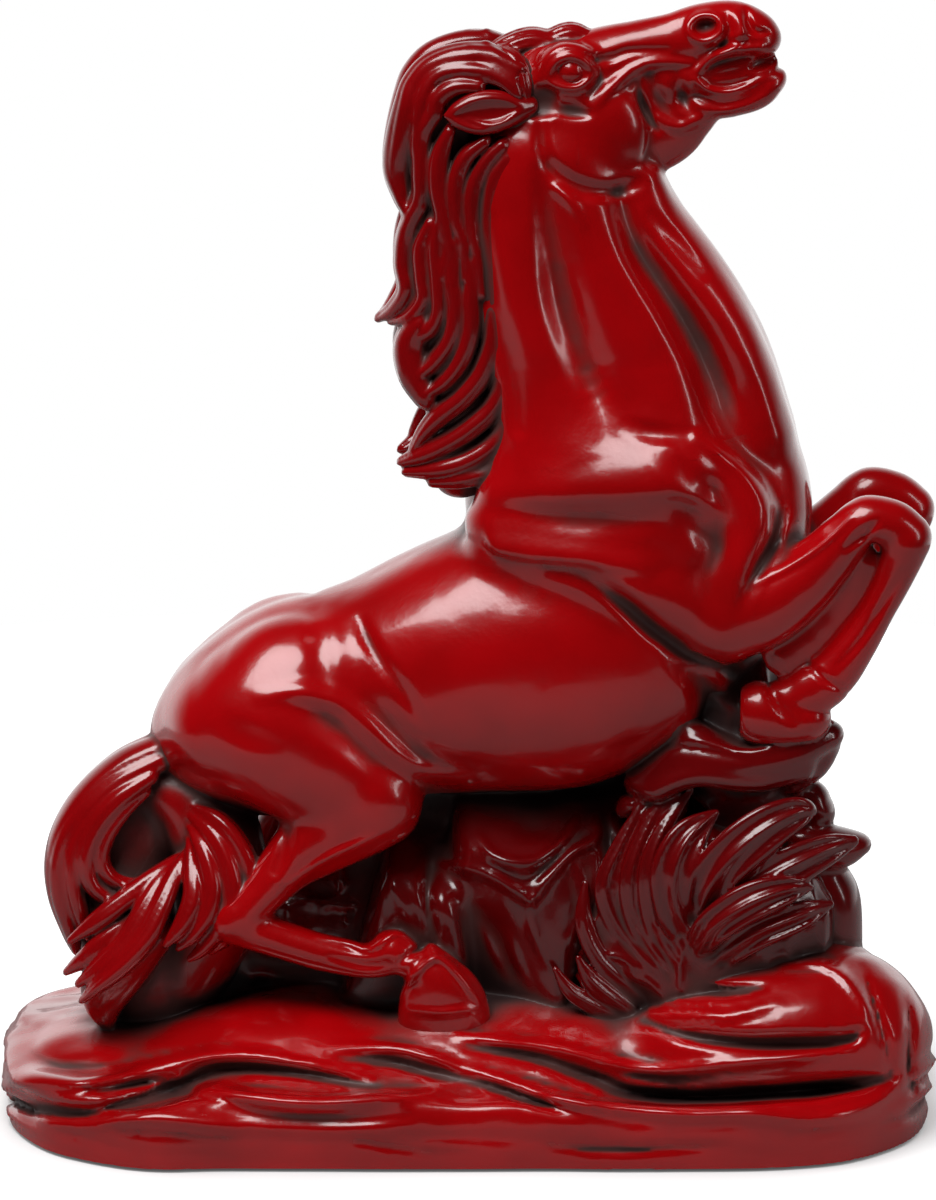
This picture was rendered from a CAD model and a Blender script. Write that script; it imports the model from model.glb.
# Looks of a red lacquered resin figurine: a horse that rears up from a rocky plinth.
# Each casting is sculpted as a distance field in millimetres, skinned finely, and put in the place
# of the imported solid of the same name. Fields share their masses, so that neighbours flow together.

import math

import bpy
import numpy as np
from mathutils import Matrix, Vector


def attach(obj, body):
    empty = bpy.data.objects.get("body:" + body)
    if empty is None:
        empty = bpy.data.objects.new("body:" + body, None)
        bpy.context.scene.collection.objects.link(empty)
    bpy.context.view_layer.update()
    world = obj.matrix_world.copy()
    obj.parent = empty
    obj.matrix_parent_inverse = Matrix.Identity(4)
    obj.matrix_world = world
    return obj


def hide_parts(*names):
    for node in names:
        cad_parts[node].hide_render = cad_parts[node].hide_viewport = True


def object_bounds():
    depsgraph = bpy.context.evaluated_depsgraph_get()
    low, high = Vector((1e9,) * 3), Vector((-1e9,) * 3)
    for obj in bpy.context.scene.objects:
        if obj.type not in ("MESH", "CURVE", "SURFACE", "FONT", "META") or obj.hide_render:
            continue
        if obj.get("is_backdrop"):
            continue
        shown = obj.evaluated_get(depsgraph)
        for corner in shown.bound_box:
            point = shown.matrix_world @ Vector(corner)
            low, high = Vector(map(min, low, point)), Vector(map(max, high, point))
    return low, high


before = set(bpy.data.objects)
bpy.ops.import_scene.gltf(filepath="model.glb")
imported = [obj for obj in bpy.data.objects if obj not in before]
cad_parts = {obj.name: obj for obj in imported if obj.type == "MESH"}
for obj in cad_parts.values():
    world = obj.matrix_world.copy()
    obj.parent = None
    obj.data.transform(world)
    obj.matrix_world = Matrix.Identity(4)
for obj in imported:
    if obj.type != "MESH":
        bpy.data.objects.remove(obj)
cad_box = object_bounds()

# Sizes in millimetres, as in the part's own source
PLINTH_LENGTH = 162.0
PLINTH_DEPTH = 80.0
PLINTH_FRONT_CORNER = 32.0
PLINTH_BACK_CORNER = 20.0
PLINTH_EDGE_ROUND = 2.5
PLINTH_UNDERSIDE = 0.5
TOP_LEVEL = 12.0
BELLY = 21.0
NECK = 25.0
HEAD = 8.5
KNEE = 15.5
HOCK = 17.5

# The photograph: its angle down on the figure, its distance and the height at its middle
TILT = math.radians(14)
SLOPE = math.tan(TILT)
VIEW_DISTANCE = 1400.0
VIEW_SCALE = 5.725
VIEW_HEIGHT = 1200
VIEW_GROUND_ROW = 1110.6
VIEW_MIDDLE = (VIEW_GROUND_ROW - VIEW_HEIGHT / 2) / (VIEW_SCALE * math.cos(TILT))

# Fields: farther than any point, how far around a mass its field is worked out, the finest radius
# of a run, and how softly creases in rough ground close
FAR = 1000.0
REACH = 6.0
LEAST_RADIUS = 0.05
CREASE_ROUND = 0.02
COARSE = 1.0
CORNERS = [(i, j, k) for i in (0, 1) for j in (0, 1) for k in (0, 1)]

LATTICE = 32
rng = np.random.default_rng(41)
lattice = rng.uniform(-1, 1, (LATTICE, LATTICE, LATTICE)).astype(np.float32)


def mix(a, b, t):
    return a + (b - a) * t


def smooth_min(a, b, blend):
    if blend <= 0:
        return np.minimum(a, b)
    near = np.maximum(blend - np.abs(a - b), 0) / blend
    return np.minimum(a, b) - near * near * (blend / 4)


def smooth_max(a, b, blend):
    return -smooth_min(-a, -b, blend)


def corner_weight(f, corner):
    """The weight of a cell's corner at places f within the cell, shape (3, n)."""
    x, y, z = (f[axis] if corner[axis] else 1 - f[axis] for axis in range(3))
    return x * y * z


def noise(p, scale):
    """Smooth noise from -1 to 1 at points p, shape (3, n), with lumps about `scale` mm wide."""
    q = p / np.float32(scale)
    base = np.floor(q).astype(np.int32)
    f = q - base
    f = f * f * (3 - 2 * f)
    total = 0
    for i, j, k in CORNERS:
        at = (base[0] + i) % LATTICE, (base[1] + j) % LATTICE, (base[2] + k) % LATTICE
        total = total + corner_weight(f, (i, j, k)) * lattice[at]
    return total


def smooth_rows(rows, steps):
    """A smooth curve through rows of numbers, with `steps` rows to each span."""
    rows = np.array(rows, float)
    found = []
    last = len(rows) - 1
    for i in range(last):
        p, q, r, s = rows[max(i - 1, 0)], rows[i], rows[i + 1], rows[min(i + 2, last)]
        for j in range(steps):
            t = j / steps
            bend = (2 * p - 5 * q + 4 * r - s) * t**2 + (3 * q - p - 3 * r + s) * t**3
            found.append(q + 0.5 * ((r - p) * t + bend))
    found.append(rows[last])
    return np.array(found)


def pictured(p):
    """Points moved to where the photograph shows them at their depth, which undoes its perspective."""
    s = p[2] - VIEW_MIDDLE
    grow = VIEW_DISTANCE / (VIEW_DISTANCE + p[1] * math.cos(TILT) - s * math.sin(TILT))
    return np.stack([p[0] * grow, p[1], VIEW_MIDDLE + grow * (s + p[1] * SLOPE) - p[1] * SLOPE])


def unpictured(q):
    """The way back from `pictured`."""
    k = q[2] + q[1] * SLOPE - VIEW_MIDDLE
    depth = VIEW_DISTANCE + q[1] * math.cos(TILT)
    s = (k * depth - VIEW_DISTANCE * q[1] * SLOPE) / (VIEW_DISTANCE + k * math.sin(TILT))
    return np.stack([q[0] * (depth - s * math.sin(TILT)) / VIEW_DISTANCE, q[1], VIEW_MIDDLE + s])


def within(p, low, high):
    """Which of the points lie in a box."""
    return np.flatnonzero(
        (p[0] > low[0]) & (p[0] < high[0])
        & (p[1] > low[1]) & (p[1] < high[1])
        & (p[2] > low[2]) & (p[2] < high[2])
    )


def to_ellipsoid(u, v, s, a, b, c):
    """About the distance to an ellipsoid with the half-axes a, b and c."""
    k0 = np.sqrt((u / a) ** 2 + (v / b) ** 2 + (s / c) ** 2)
    k1 = np.sqrt((u / (a * a)) ** 2 + (v / (b * b)) ** 2 + (s / (c * c)) ** 2)
    return k0 * (k0 - 1) / np.maximum(k1, 1e-6)


class Mass:
    """A shape with its box and its signed distance at points p, shape (3, n)."""

    def __init__(self, low, high, distance):
        self.low = np.array(low, np.float32)
        self.high = np.array(high, np.float32)
        self.distance = distance


def ball(at, size, lean=0.0):
    """An ellipsoid with the three half-axes in `size`, turned by `lean` degrees in the side view."""
    reach = max(size)
    cos = math.cos(math.radians(lean))
    sin = math.sin(math.radians(lean))

    def distance(p):
        dx = p[0] - at[0]
        dz = p[2] - at[2]
        return to_ellipsoid(dx * cos + dz * sin, p[1] - at[1], dz * cos - dx * sin, *size)

    return Mass([v - reach for v in at], [v + reach for v in at], distance)


def limb(stations, steps=7, across=(0, 1, 0), strands=None):
    """A run through stations [x, y, z, half-height, half-width], perhaps grooved by strands of hair.

    Half-widths are measured along `across`, and strands are given as (count, depth, twist).
    """
    rows = smooth_rows(stations, steps)
    radius = np.maximum(rows[:, 3], rows[:, 4])[:, None]
    low = (rows[:, :3] - radius).min(0)
    high = (rows[:, :3] + radius).max(0)
    side = np.array(across, float)
    parts = []
    along = 0.0
    rows = list(rows)
    for a, b in zip(rows[:-1], rows[1:]):
        run = b[:3] - a[:3]
        length = np.linalg.norm(run)
        long = run / length
        wide = side - long * side.dot(long)
        wide /= np.linalg.norm(wide)
        parts.append((a, b, run, length, long, wide, np.cross(long, wide), along))
        along += length

    def distance(p):
        best = np.full(p.shape[1], FAR, np.float32)
        for a, b, run, length, long, wide, tall, start in parts:
            pad = max(a[3], a[4], b[3], b[4]) + REACH
            lo = np.minimum(a[:3], b[:3]) - pad
            hi = np.maximum(a[:3], b[:3]) + pad
            near = within(p, lo, hi)
            if not len(near):
                continue
            x = p[0, near] - a[0]
            y = p[1, near] - a[1]
            z = p[2, near] - a[2]
            t = np.clip((x * run[0] + y * run[1] + z * run[2]) / length**2, 0, 1)
            x = x - run[0] * t
            y = y - run[1] * t
            z = z - run[2] * t
            h = np.maximum(mix(a[3], b[3], t), LEAST_RADIUS)
            w = np.maximum(mix(a[4], b[4], t), LEAST_RADIUS)
            u = x * tall[0] + y * tall[1] + z * tall[2]
            v = x * wide[0] + y * wide[1] + z * wide[2]
            s = x * long[0] + y * long[1] + z * long[2]
            end = ((t <= 0) & (start == 0)) | ((t >= 1) & (b is rows[-1]))
            d = to_ellipsoid(u, v, s, h, w, np.where(end, np.minimum(h, w), np.maximum(h, w)))
            if strands:
                count, depth, twist = strands
                turn = np.arctan2(v / w, u / h) * count + (start + length * t) * twist
                groove = 1 - np.abs(np.sin(turn))
                d = d + np.minimum(depth, 0.3 * np.minimum(h, w)) * groove * groove
            best[near] = np.minimum(best[near], d)
        return best

    return Mass(low, high, distance)


def rock(at, reach, faces, edge):
    """The space inside flat faces, each [nx, ny, nz, distance from `at`], with its edges rounded."""

    def distance(p):
        x, y, z = p[0] - at[0], p[1] - at[1], p[2] - at[2]
        d = np.sqrt(x * x + y * y + z * z) - reach
        for nx, ny, nz, off in faces:
            length = math.sqrt(nx * nx + ny * ny + nz * nz)
            d = smooth_max(d, (x * nx + y * ny + z * nz) / length - off, edge)
        return d

    return Mass([v - reach for v in at], [v + reach for v in at], distance)


def rounded(a, b):
    """The distance to a quarter round, from the distances to the two straight sides that it joins."""
    return np.minimum(np.maximum(a, b), 0) + np.hypot(np.maximum(a, 0), np.maximum(b, 0))


def slab(length, depth, bottom, top, front, back, edge):
    """A plate with corners of one radius in front and another behind, and a rounded top edge."""

    def distance(p):
        p = unpictured(p)
        corner = np.where(p[1] < 0, front, back)
        outline = rounded(np.abs(p[0]) - length / 2 + corner, np.abs(p[1]) - depth / 2 + corner) - corner
        return rounded(outline + edge, p[2] - top + edge) - edge

    return Mass([-length / 2, -depth / 2, bottom], [length / 2, depth / 2, top], distance)


class Clay:
    """Masses that are added, cut away and carved, in the order of the calls."""

    # How near the surface carving works, how much higher than in the side view it may lie,
    # how far from the middle it fades in, and how fast a sharp groove rises to its rims
    carved_band = 6.0
    overhang = 12
    middle = 2
    sharp_fall = 1.6

    def __init__(self):
        self.steps = []
        self.low = np.full(3, FAR, np.float32)
        self.high = np.full(3, -FAR, np.float32)

    def add(self, mass, blend=0.0):
        self.low = np.minimum(self.low, mass.low)
        self.high = np.maximum(self.high, mass.high)
        return self.step(mass.low, mass.high, blend, lambda d, p: smooth_min(d, mass.distance(p), blend))

    def cut(self, mass, blend=0.0):
        return self.step(mass.low, mass.high, blend, lambda d, p: smooth_max(d, -mass.distance(p), blend))

    def step(self, low, high, blend, change):
        pad = blend + REACH
        self.steps.append((np.array(low) - pad, np.array(high) + pad, change))
        return self

    def carve(self, path, side=-1, sharp=False, steps=4):
        """Ridges (height above 0) and grooves along a path of [x, side-view height, half-width, height]."""
        rows = smooth_rows(path, steps)
        reach = rows[:, 2].max()
        low = [rows[:, 0].min() - reach, -FAR, rows[:, 1].min() - reach]
        upper = rows[:, 1].max() + reach
        high = [rows[:, 0].max() + reach, FAR, upper + self.overhang]

        def change(d, p):
            w = p[2] - np.abs(p[1]) * SLOPE
            most = np.zeros_like(d)
            shallow = np.abs(d) < self.carved_band
            here = np.flatnonzero(shallow & (p[1] * side > 0) & (w > low[2]) & (w < upper))
            if not len(here):
                return d
            x, w = p[0, here], w[here]
            rise = np.zeros_like(x)
            for (ax, aw, ar, ah), (bx, bw, br, bh) in zip(rows[:-1], rows[1:]):
                square = (bx - ax) ** 2 + (bw - aw) ** 2
                t = np.clip(((x - ax) * (bx - ax) + (w - aw) * (bw - aw)) / square, 0, 1)
                gap = np.hypot(x - mix(ax, bx, t), w - mix(aw, bw, t)) / mix(ar, br, t)
                if sharp:
                    fall = np.maximum(1 - gap, 0) ** self.sharp_fall
                else:
                    fall = np.maximum(1 - gap * gap, 0) ** 2
                push = mix(ah, bh, t) * fall
                rise = np.where(np.abs(push) > np.abs(rise), push, rise)
            most[here] = rise * np.clip(np.abs(p[1, here]) / self.middle, 0, 1)
            return d - most

        return self.step(low, high, 0, change)

    def carve_both(self, path, **how):
        return self.carve(path, side=-1, **how).carve(path, side=1, **how)

    def distance(self, p):
        d = np.full(p.shape[1], FAR, np.float32)
        for low, high, change in self.steps:
            near = within(p, low, high)
            if len(near):
                d[near] = change(d[near], p[:, near])
        return d


def knead(clay, low, high, lumps, height, ridged=False):
    """Uneven ground: lumps of the given width and height over a box, with creases if it is ridged."""

    def change(d, p):
        wave = noise(p, lumps)
        if ridged:
            wave = 1 - 2 * np.sqrt(np.abs(wave) + CREASE_ROUND)
        return d - height * wave

    clay.steps.append((np.array(low), np.array(high), change))


def everywhere():
    return (-FAR, -FAR, -FAR), (FAR, FAR, FAR)


def seen(rows):
    """Stations whose height is the one in the photograph's side view."""
    return [[row[0], row[1], row[2] - row[1] * SLOPE, *row[3:]] for row in rows]


# The horse's body. Runs in pairs lie on both sides, with rows of
# [x, distance from the middle, side-view height, half-height, half-width].

RING_STEPS = 12


def paired(clay, rows, blend, faces_up=0.0, **how):
    """With `faces_up`, an angle in degrees, half-heights are measured along that direction and outwards."""
    turn = math.radians(faces_up)
    for side in (-1, 1):
        if faces_up:
            how["across"] = (0, -side * math.sin(turn), math.cos(turn))
        clay.add(limb([[x, side * y, w + y * SLOPE, h, b] for x, y, w, h, b in rows], **how), blend)


def ring(x, w, across, up, width, height, lean=0.0):
    """A closed path for carving, such as the rim of a nostril."""
    turn = math.radians(lean)
    path = []
    for i in range(RING_STEPS + 1):
        a = 2 * math.pi * i / RING_STEPS
        u = across * math.cos(a)
        v = up * math.sin(a)
        right = u * math.cos(turn) - v * math.sin(turn)
        rise = u * math.sin(turn) + v * math.cos(turn)
        path.append([x + right, w + rise, width, height])
    return path


def trunk(clay):
    clay.add(limb([
        [-45, 0, 68, 9, 0.5 * BELLY],
        [-38.5, 0, 69.5, 15, 0.76 * BELLY],
        [-28, 0, 73, 18.8, 0.9 * BELLY],
        [-14, 0, 77, 17.8, 0.86 * BELLY],
        [2, 0, 81.5, 21.2, 0.96 * BELLY],
        [18, 0, 87, 25, BELLY],
        [31, 0, 96, 26, 0.95 * BELLY],
        [35, 0, 108, 24, 0.85 * BELLY],
    ], steps=10))
    # Haunch and thigh
    paired(clay, [
        [-42.4, 10, 69.5, 9, 9.5],
        [-35.4, 13, 69, 12, 10.5],
        [-27, 14, 64, 12.5, 10],
        [-19, 14.6, 57.5, 9.5, 8.5],
        [-15, 15, 55, 6, 7],
    ], 5, steps=9)
    # Upper side of the haunch
    paired(clay, [
        [-39, 11.4, 75.4, 5, 8],
        [-33, 12.8, 78.2, 6, 10],
        [-27, 12.6, 79.6, 6, 9],
    ], 3, faces_up=41, steps=8)
    # Barrel
    paired(clay, [
        [-12, 3.5, 76, 15.5, 15],
        [2, 4.5, 78.5, 18.5, 17],
        [16, 5.5, 79, 19, 17],
        [30, 6, 79.5, 14, 13.5],
    ], 8, steps=9)
    # Upper side of the ribs, a broad face under the light
    paired(clay, [
        [-19, 7, 81, 7, 11],
        [-10, 8.6, 83.6, 8.6, 13],
        [0, 9.4, 86.6, 9, 15],
        [10, 9.6, 89.8, 9, 15],
        [20, 8.6, 92, 8, 13],
    ], 3, faces_up=41, steps=9)
    # Shoulder, fullest under the blade, and the blade as a broad face under the light
    paired(clay, [
        [8, 9.2, 112, 4.4, 6.6],
        [16, 11.6, 112.4, 5.4, 8.6],
        [24, 12.6, 112.4, 5.8, 9],
        [32, 13.4, 111.4, 5.8, 9],
        [39, 13.4, 108.4, 5.6, 7.8],
    ], 4, steps=8)
    paired(clay, [
        [8, 8, 106.4, 6, 9],
        [16, 10, 106.4, 7, 9.8],
        [24, 11.4, 106, 7, 10],
        [32, 12.4, 105, 7, 9.6],
        [38, 13, 102, 6, 8.4],
    ], 3, steps=8)
    paired(clay, [
        [9, 11.6, 116.4, 2, 5],
        [16, 14.2, 117.8, 3, 7.8],
        [24, 15.8, 118.4, 3.2, 8.8],
        [32, 17.4, 118.2, 3.2, 8.4],
        [38, 18, 116.4, 3, 6.8],
        [43, 16.2, 112.2, 2.4, 5],
    ], 2.5, faces_up=41, steps=9)
    # Upper arm, from the ribs to the elbow, and the face on top of it
    paired(clay, [
        [7, 9, 100.6, 3.4, 6.6],
        [15, 11, 99.4, 4.4, 9],
        [24, 13, 97.4, 6, 9.6],
        [34, 14.6, 94.4, 7.4, 9],
        [43, 15, 88.5, 7, 7.2],
    ], 4, steps=9)
    paired(clay, [
        [6, 16.4, 103, 1.2, 3],
        [14, 19, 102.2, 1.6, 3.6],
        [22, 20.2, 101.6, 1.6, 3.8],
        [31, 20.4, 100, 1.4, 3.4],
    ], 2, faces_up=41, steps=8)
    # Point of the shoulder, down to the elbow
    paired(clay, [
        [37, 11, 119, 4, 5],
        [43.5, 12.5, 116, 5, 6],
        [48, 13.5, 110.5, 5.4, 6.6],
        [49, 14, 103, 5.4, 7],
        [46.5, 14.8, 95, 6, 7],
    ], 2.5, steps=9)
    # Breast
    paired(clay, [
        [47, 4, 119, 7.5, 7],
        [50, 5.5, 111, 8, 8],
        [50, 7, 102, 8, 8],
        [44, 7, 92, 8, 7],
    ], 4, steps=8)


def neck_muscle(clay):
    clay.add(limb([
        [31, 0, 108, 27, 0.86 * BELLY],
        [29.6, 0, 121, 26, 0.6 * NECK],
        [27.6, 0, 131, 24.6, 0.5 * NECK],
        [25, 0, 141, 22.6, 0.47 * NECK],
        [21.6, 0, 151, 19.4, 0.44 * NECK],
        [18.4, 0, 160, 15.8, 0.42 * NECK],
        [17.6, 0, 168, 14.6, 0.4 * NECK],
        [17, 0, 176, 12, 0.36 * NECK],
    ], steps=10), 6)
    # Crest beside the mane, the long muscle in the middle and the windpipe
    paired(clay, [
        [8.5, 5, 172, 5, 4.6],
        [7.6, 6, 160, 6, 5.8],
        [9.2, 6.8, 147, 6.6, 6.8],
        [12.4, 6.8, 134, 7.4, 7.4],
        [16, 7, 123, 7, 7],
    ], 9, steps=9)
    paired(clay, [
        [18, 5.6, 170, 4, 4.2],
        [19.6, 6.6, 160, 5.4, 5.4],
        [23.4, 7.4, 149, 6.4, 6.4],
        [28.6, 7.8, 138, 7.4, 7.2],
        [32, 7.6, 129, 7.4, 7.2],
        [34, 7.4, 121, 6, 6.8],
    ], 7, steps=9)
    paired(clay, [
        [30.4, 3, 167, 3.6, 3.6],
        [33, 3.6, 159, 4, 4.4],
        [38.6, 4.2, 150.6, 4.4, 5.4],
        [44, 4.8, 142, 5, 6],
        [48.2, 5.2, 132, 5.4, 6.6],
        [49.6, 5.6, 122, 6.4, 7],
    ], 4, steps=9)


def skull(clay):
    clay.add(ball([13.5, 0, 184], [8.5, 7.6, 8.5]), 4)
    for side in (-1, 1):
        clay.add(ball([22, side * 4.6, 177.2], [9.4, 4.6, 9.6]), 1.5)
    # Nose, from the brow to the upper lip
    clay.add(limb([
        [15, 0, 186, 7, 7.2],
        [19, 0, 187.4, 6.2, 6.8],
        [24, 0, 189.2, 5.9, 5.6],
        [30, 0, 191.1, 5.2, 4.7],
        [36, 0, 192.4, 5.2, 4.4],
        [41, 0, 193.5, 5.7, 4.9],
        [46, 0, 194.3, 5.4, 5],
        [49.6, 0, 193.8, 4.4, 4.3],
        [51.4, 0, 193.1, 3.3, 3.5],
    ]), 3)
    clay.add(ball([51.2, 0, 192.5], [2.9, 3.9, 2.7], -20), 0.8)
    # Jaw, from the cheek to the lower lip
    clay.add(limb([
        [24, 0, 176.5, 9.2, 4.8],
        [29, 0, 176.8, 8.8, 4.4],
        [33.5, 0, 177.4, 7.6, 4.2],
        [38, 0, 179.3, 5.2, 4],
        [42, 0, 181.7, 3.7, 4.4],
        [46, 0, 182.3, 3.2, 4.5],
        [50, 0, 183.4, 3.1, 4.3],
        [52.2, 0, 184.7, 2.5, 3.8],
        [53.2, 0, 185.4, 1.8, 2.8],
    ]), 1.5)
    # Side of the face behind the mouth
    clay.add(limb([[22, 0, 184.4, 5, 4.8], [28, 0, 184.8, 4.8, 4.6], [34, 0, 185.8, 4.4, 4.5],
                   [40, 0, 187, 3.8, 4.7]]), 2)
    # Tongue and teeth, which fill the middle of the open mouth
    clay.add(limb([[38, 0, 186.4, 4, 3.6], [42, 0, 187, 4, 3.8], [46, 0, 187.8, 3.8, 3.9],
                   [50.4, 0, 188.4, 3.4, 3.6], [51.6, 0, 188.5, 2.4, 2.6]]), 0.3)
    for side in (-1, 1):
        clay.cut(limb([
            [41, side * 5.4, 187.2, 0.6, 1.1],
            [43, side * 5.4, 187.2, 1.3, 1.7],
            [46, side * 5.5, 187.7, 1.8, 2],
            [49.5, side * 5.4, 188.7, 1.9, 2.1],
            [52.5, side * 4.4, 189.5, 1.4, 3.2],
            [57, side * 3.6, 190.2, 1.6, 4],
        ]), 0.4)
        # Eye, in its socket
        clay.add(ball([17.6, side * 6, 188.5], [5.4, 2.7, 4.9]), 1.6)
        clay.cut(ball([18.2, side * 9, 189.1], [3.3, 1.5, 2.4], -14), 0.5)
        clay.add(ball([18, side * 7, 188.9], [2.3, 1.9, 2.2]))
        # Hollow between the ear, the eye and the cheek
        clay.cut(ball([12.6, side * 8.8, 183.6], [3.6, 2.4, 3]), 1)
        clay.cut(ball([17.5, side * 8.8, 182.2], [4, 1.3, 1.2], -8), 1)
        clay.cut(ball([41.5, side * 5.5, 196.2], [2.3, 3.4, 1.7], 12), 0.4)
    for path in (
        # Eyelids and the brow
        [[13.8, 185.6, 0.9, 0.2], [15, 188.4, 1.1, 0.8], [17.6, 189.9, 1.2, 0.9], [20.6, 189, 1.1, 0.8],
         [22.6, 186.6, 0.9, 0.2]],
        [[14.2, 185.4, 0.8, 0.2], [16.4, 184.2, 0.9, 0.6], [19.4, 184.2, 0.9, 0.6],
         [22.2, 186.4, 0.8, 0.2]],
        [[12.6, 185.6, 1.4, 0.2], [13.8, 189.4, 1.6, 0.8], [17.4, 191.6, 1.7, 0.9],
         [22.6, 190.4, 1.5, 0.4]],
        [[22.4, 188.6, 1.2, -0.4], [23, 185.6, 1.3, -0.5], [21.2, 183, 1.2, -0.3]],
        # Cheek bone, the groove above it and the folds in front of the cheek
        [[22.5, 181.2, 1.6, 0.3], [25.3, 184.3, 1.8, 0.9], [28.8, 187.2, 1.8, 1.0], [33, 188.6, 1.5, 0.9],
         [39, 188.6, 1.2, 0.3]],
        [[21.5, 190, 1.2, -0.3], [24.5, 189.4, 1.5, -0.8], [28.5, 190.7, 1.3, -0.7], [35, 191, 1.1, -0.3]],
        [[31.6, 187.4, 1.6, -0.2], [32.6, 184, 2, -0.7], [34.4, 180.6, 1.8, -0.4],
         [36.6, 178.6, 1.4, -0.1]],
    ):
        clay.carve_both(path)
    clay.carve_both([[30, 185, 1.1, -0.3], [30.3, 182.2, 1.3, -0.8], [31.6, 179, 1.3, -0.9],
                     [33.4, 176.4, 1.1, -0.3]], sharp=True)
    for path in (
        [[36.4, 187, 1.4, -0.2], [37, 184, 1.8, -0.8], [38.4, 181, 1.8, -0.6], [40.6, 179, 1.4, -0.1]],
        [[33.5, 178.5, 1.5, 0.3], [37, 177, 1.6, 0.6], [40.4, 178.4, 1.4, 0.3]],
        # Nostril rim, wings of the nose and lips
        ring(41.5, 195, 3.0, 2.5, 0.95, 0.6, 10),
        [[46.8, 197.6, 1.2, 0.3], [47.9, 194.8, 1.4, 0.7], [46.9, 192, 1.4, 0.8], [44, 190.2, 1.2, 0.4]],
        [[45.2, 197.2, 0.9, -0.3], [45.7, 194.4, 1.0, -0.9], [44.4, 191.9, 0.9, -0.6]],
        [[48.6, 198.3, 0.9, -0.3], [49.2, 195.6, 1.1, -1.0], [50.4, 194.2, 1.0, -0.9],
         [52.6, 194.2, 0.8, -0.3]],
        [[40, 187, 1.1, 0.4], [42.6, 189.2, 1.2, 0.9], [47, 190.8, 1.2, 0.9], [51.4, 191.4, 1, 0.5]],
        [[40.8, 190.4, 1, -0.3], [44.6, 192, 1.1, -0.7], [48.6, 192.7, 1, -0.4]],
        [[39.8, 185.6, 1.1, 0.4], [42, 183.8, 1.2, 0.9], [46, 183.7, 1.2, 0.9], [50.4, 185.2, 1.1, 0.8],
         [54, 186.8, 0.9, 0.3]],
        [[39.6, 182.6, 1.2, -0.4], [44, 181.2, 1.3, -0.7], [48.5, 182, 1.2, -0.5], [52, 183.8, 0.9, -0.2]],
        # Edge of the cheek, which stands over the throat
        [[13, 177, 1.8, -0.4], [13.6, 171.6, 2.2, -0.9], [17.6, 167.2, 2.4, -1.2], [24, 165.4, 2.4, -1.1],
         [30, 167, 2, -0.5]],
    ):
        clay.carve_both(path)


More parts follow.
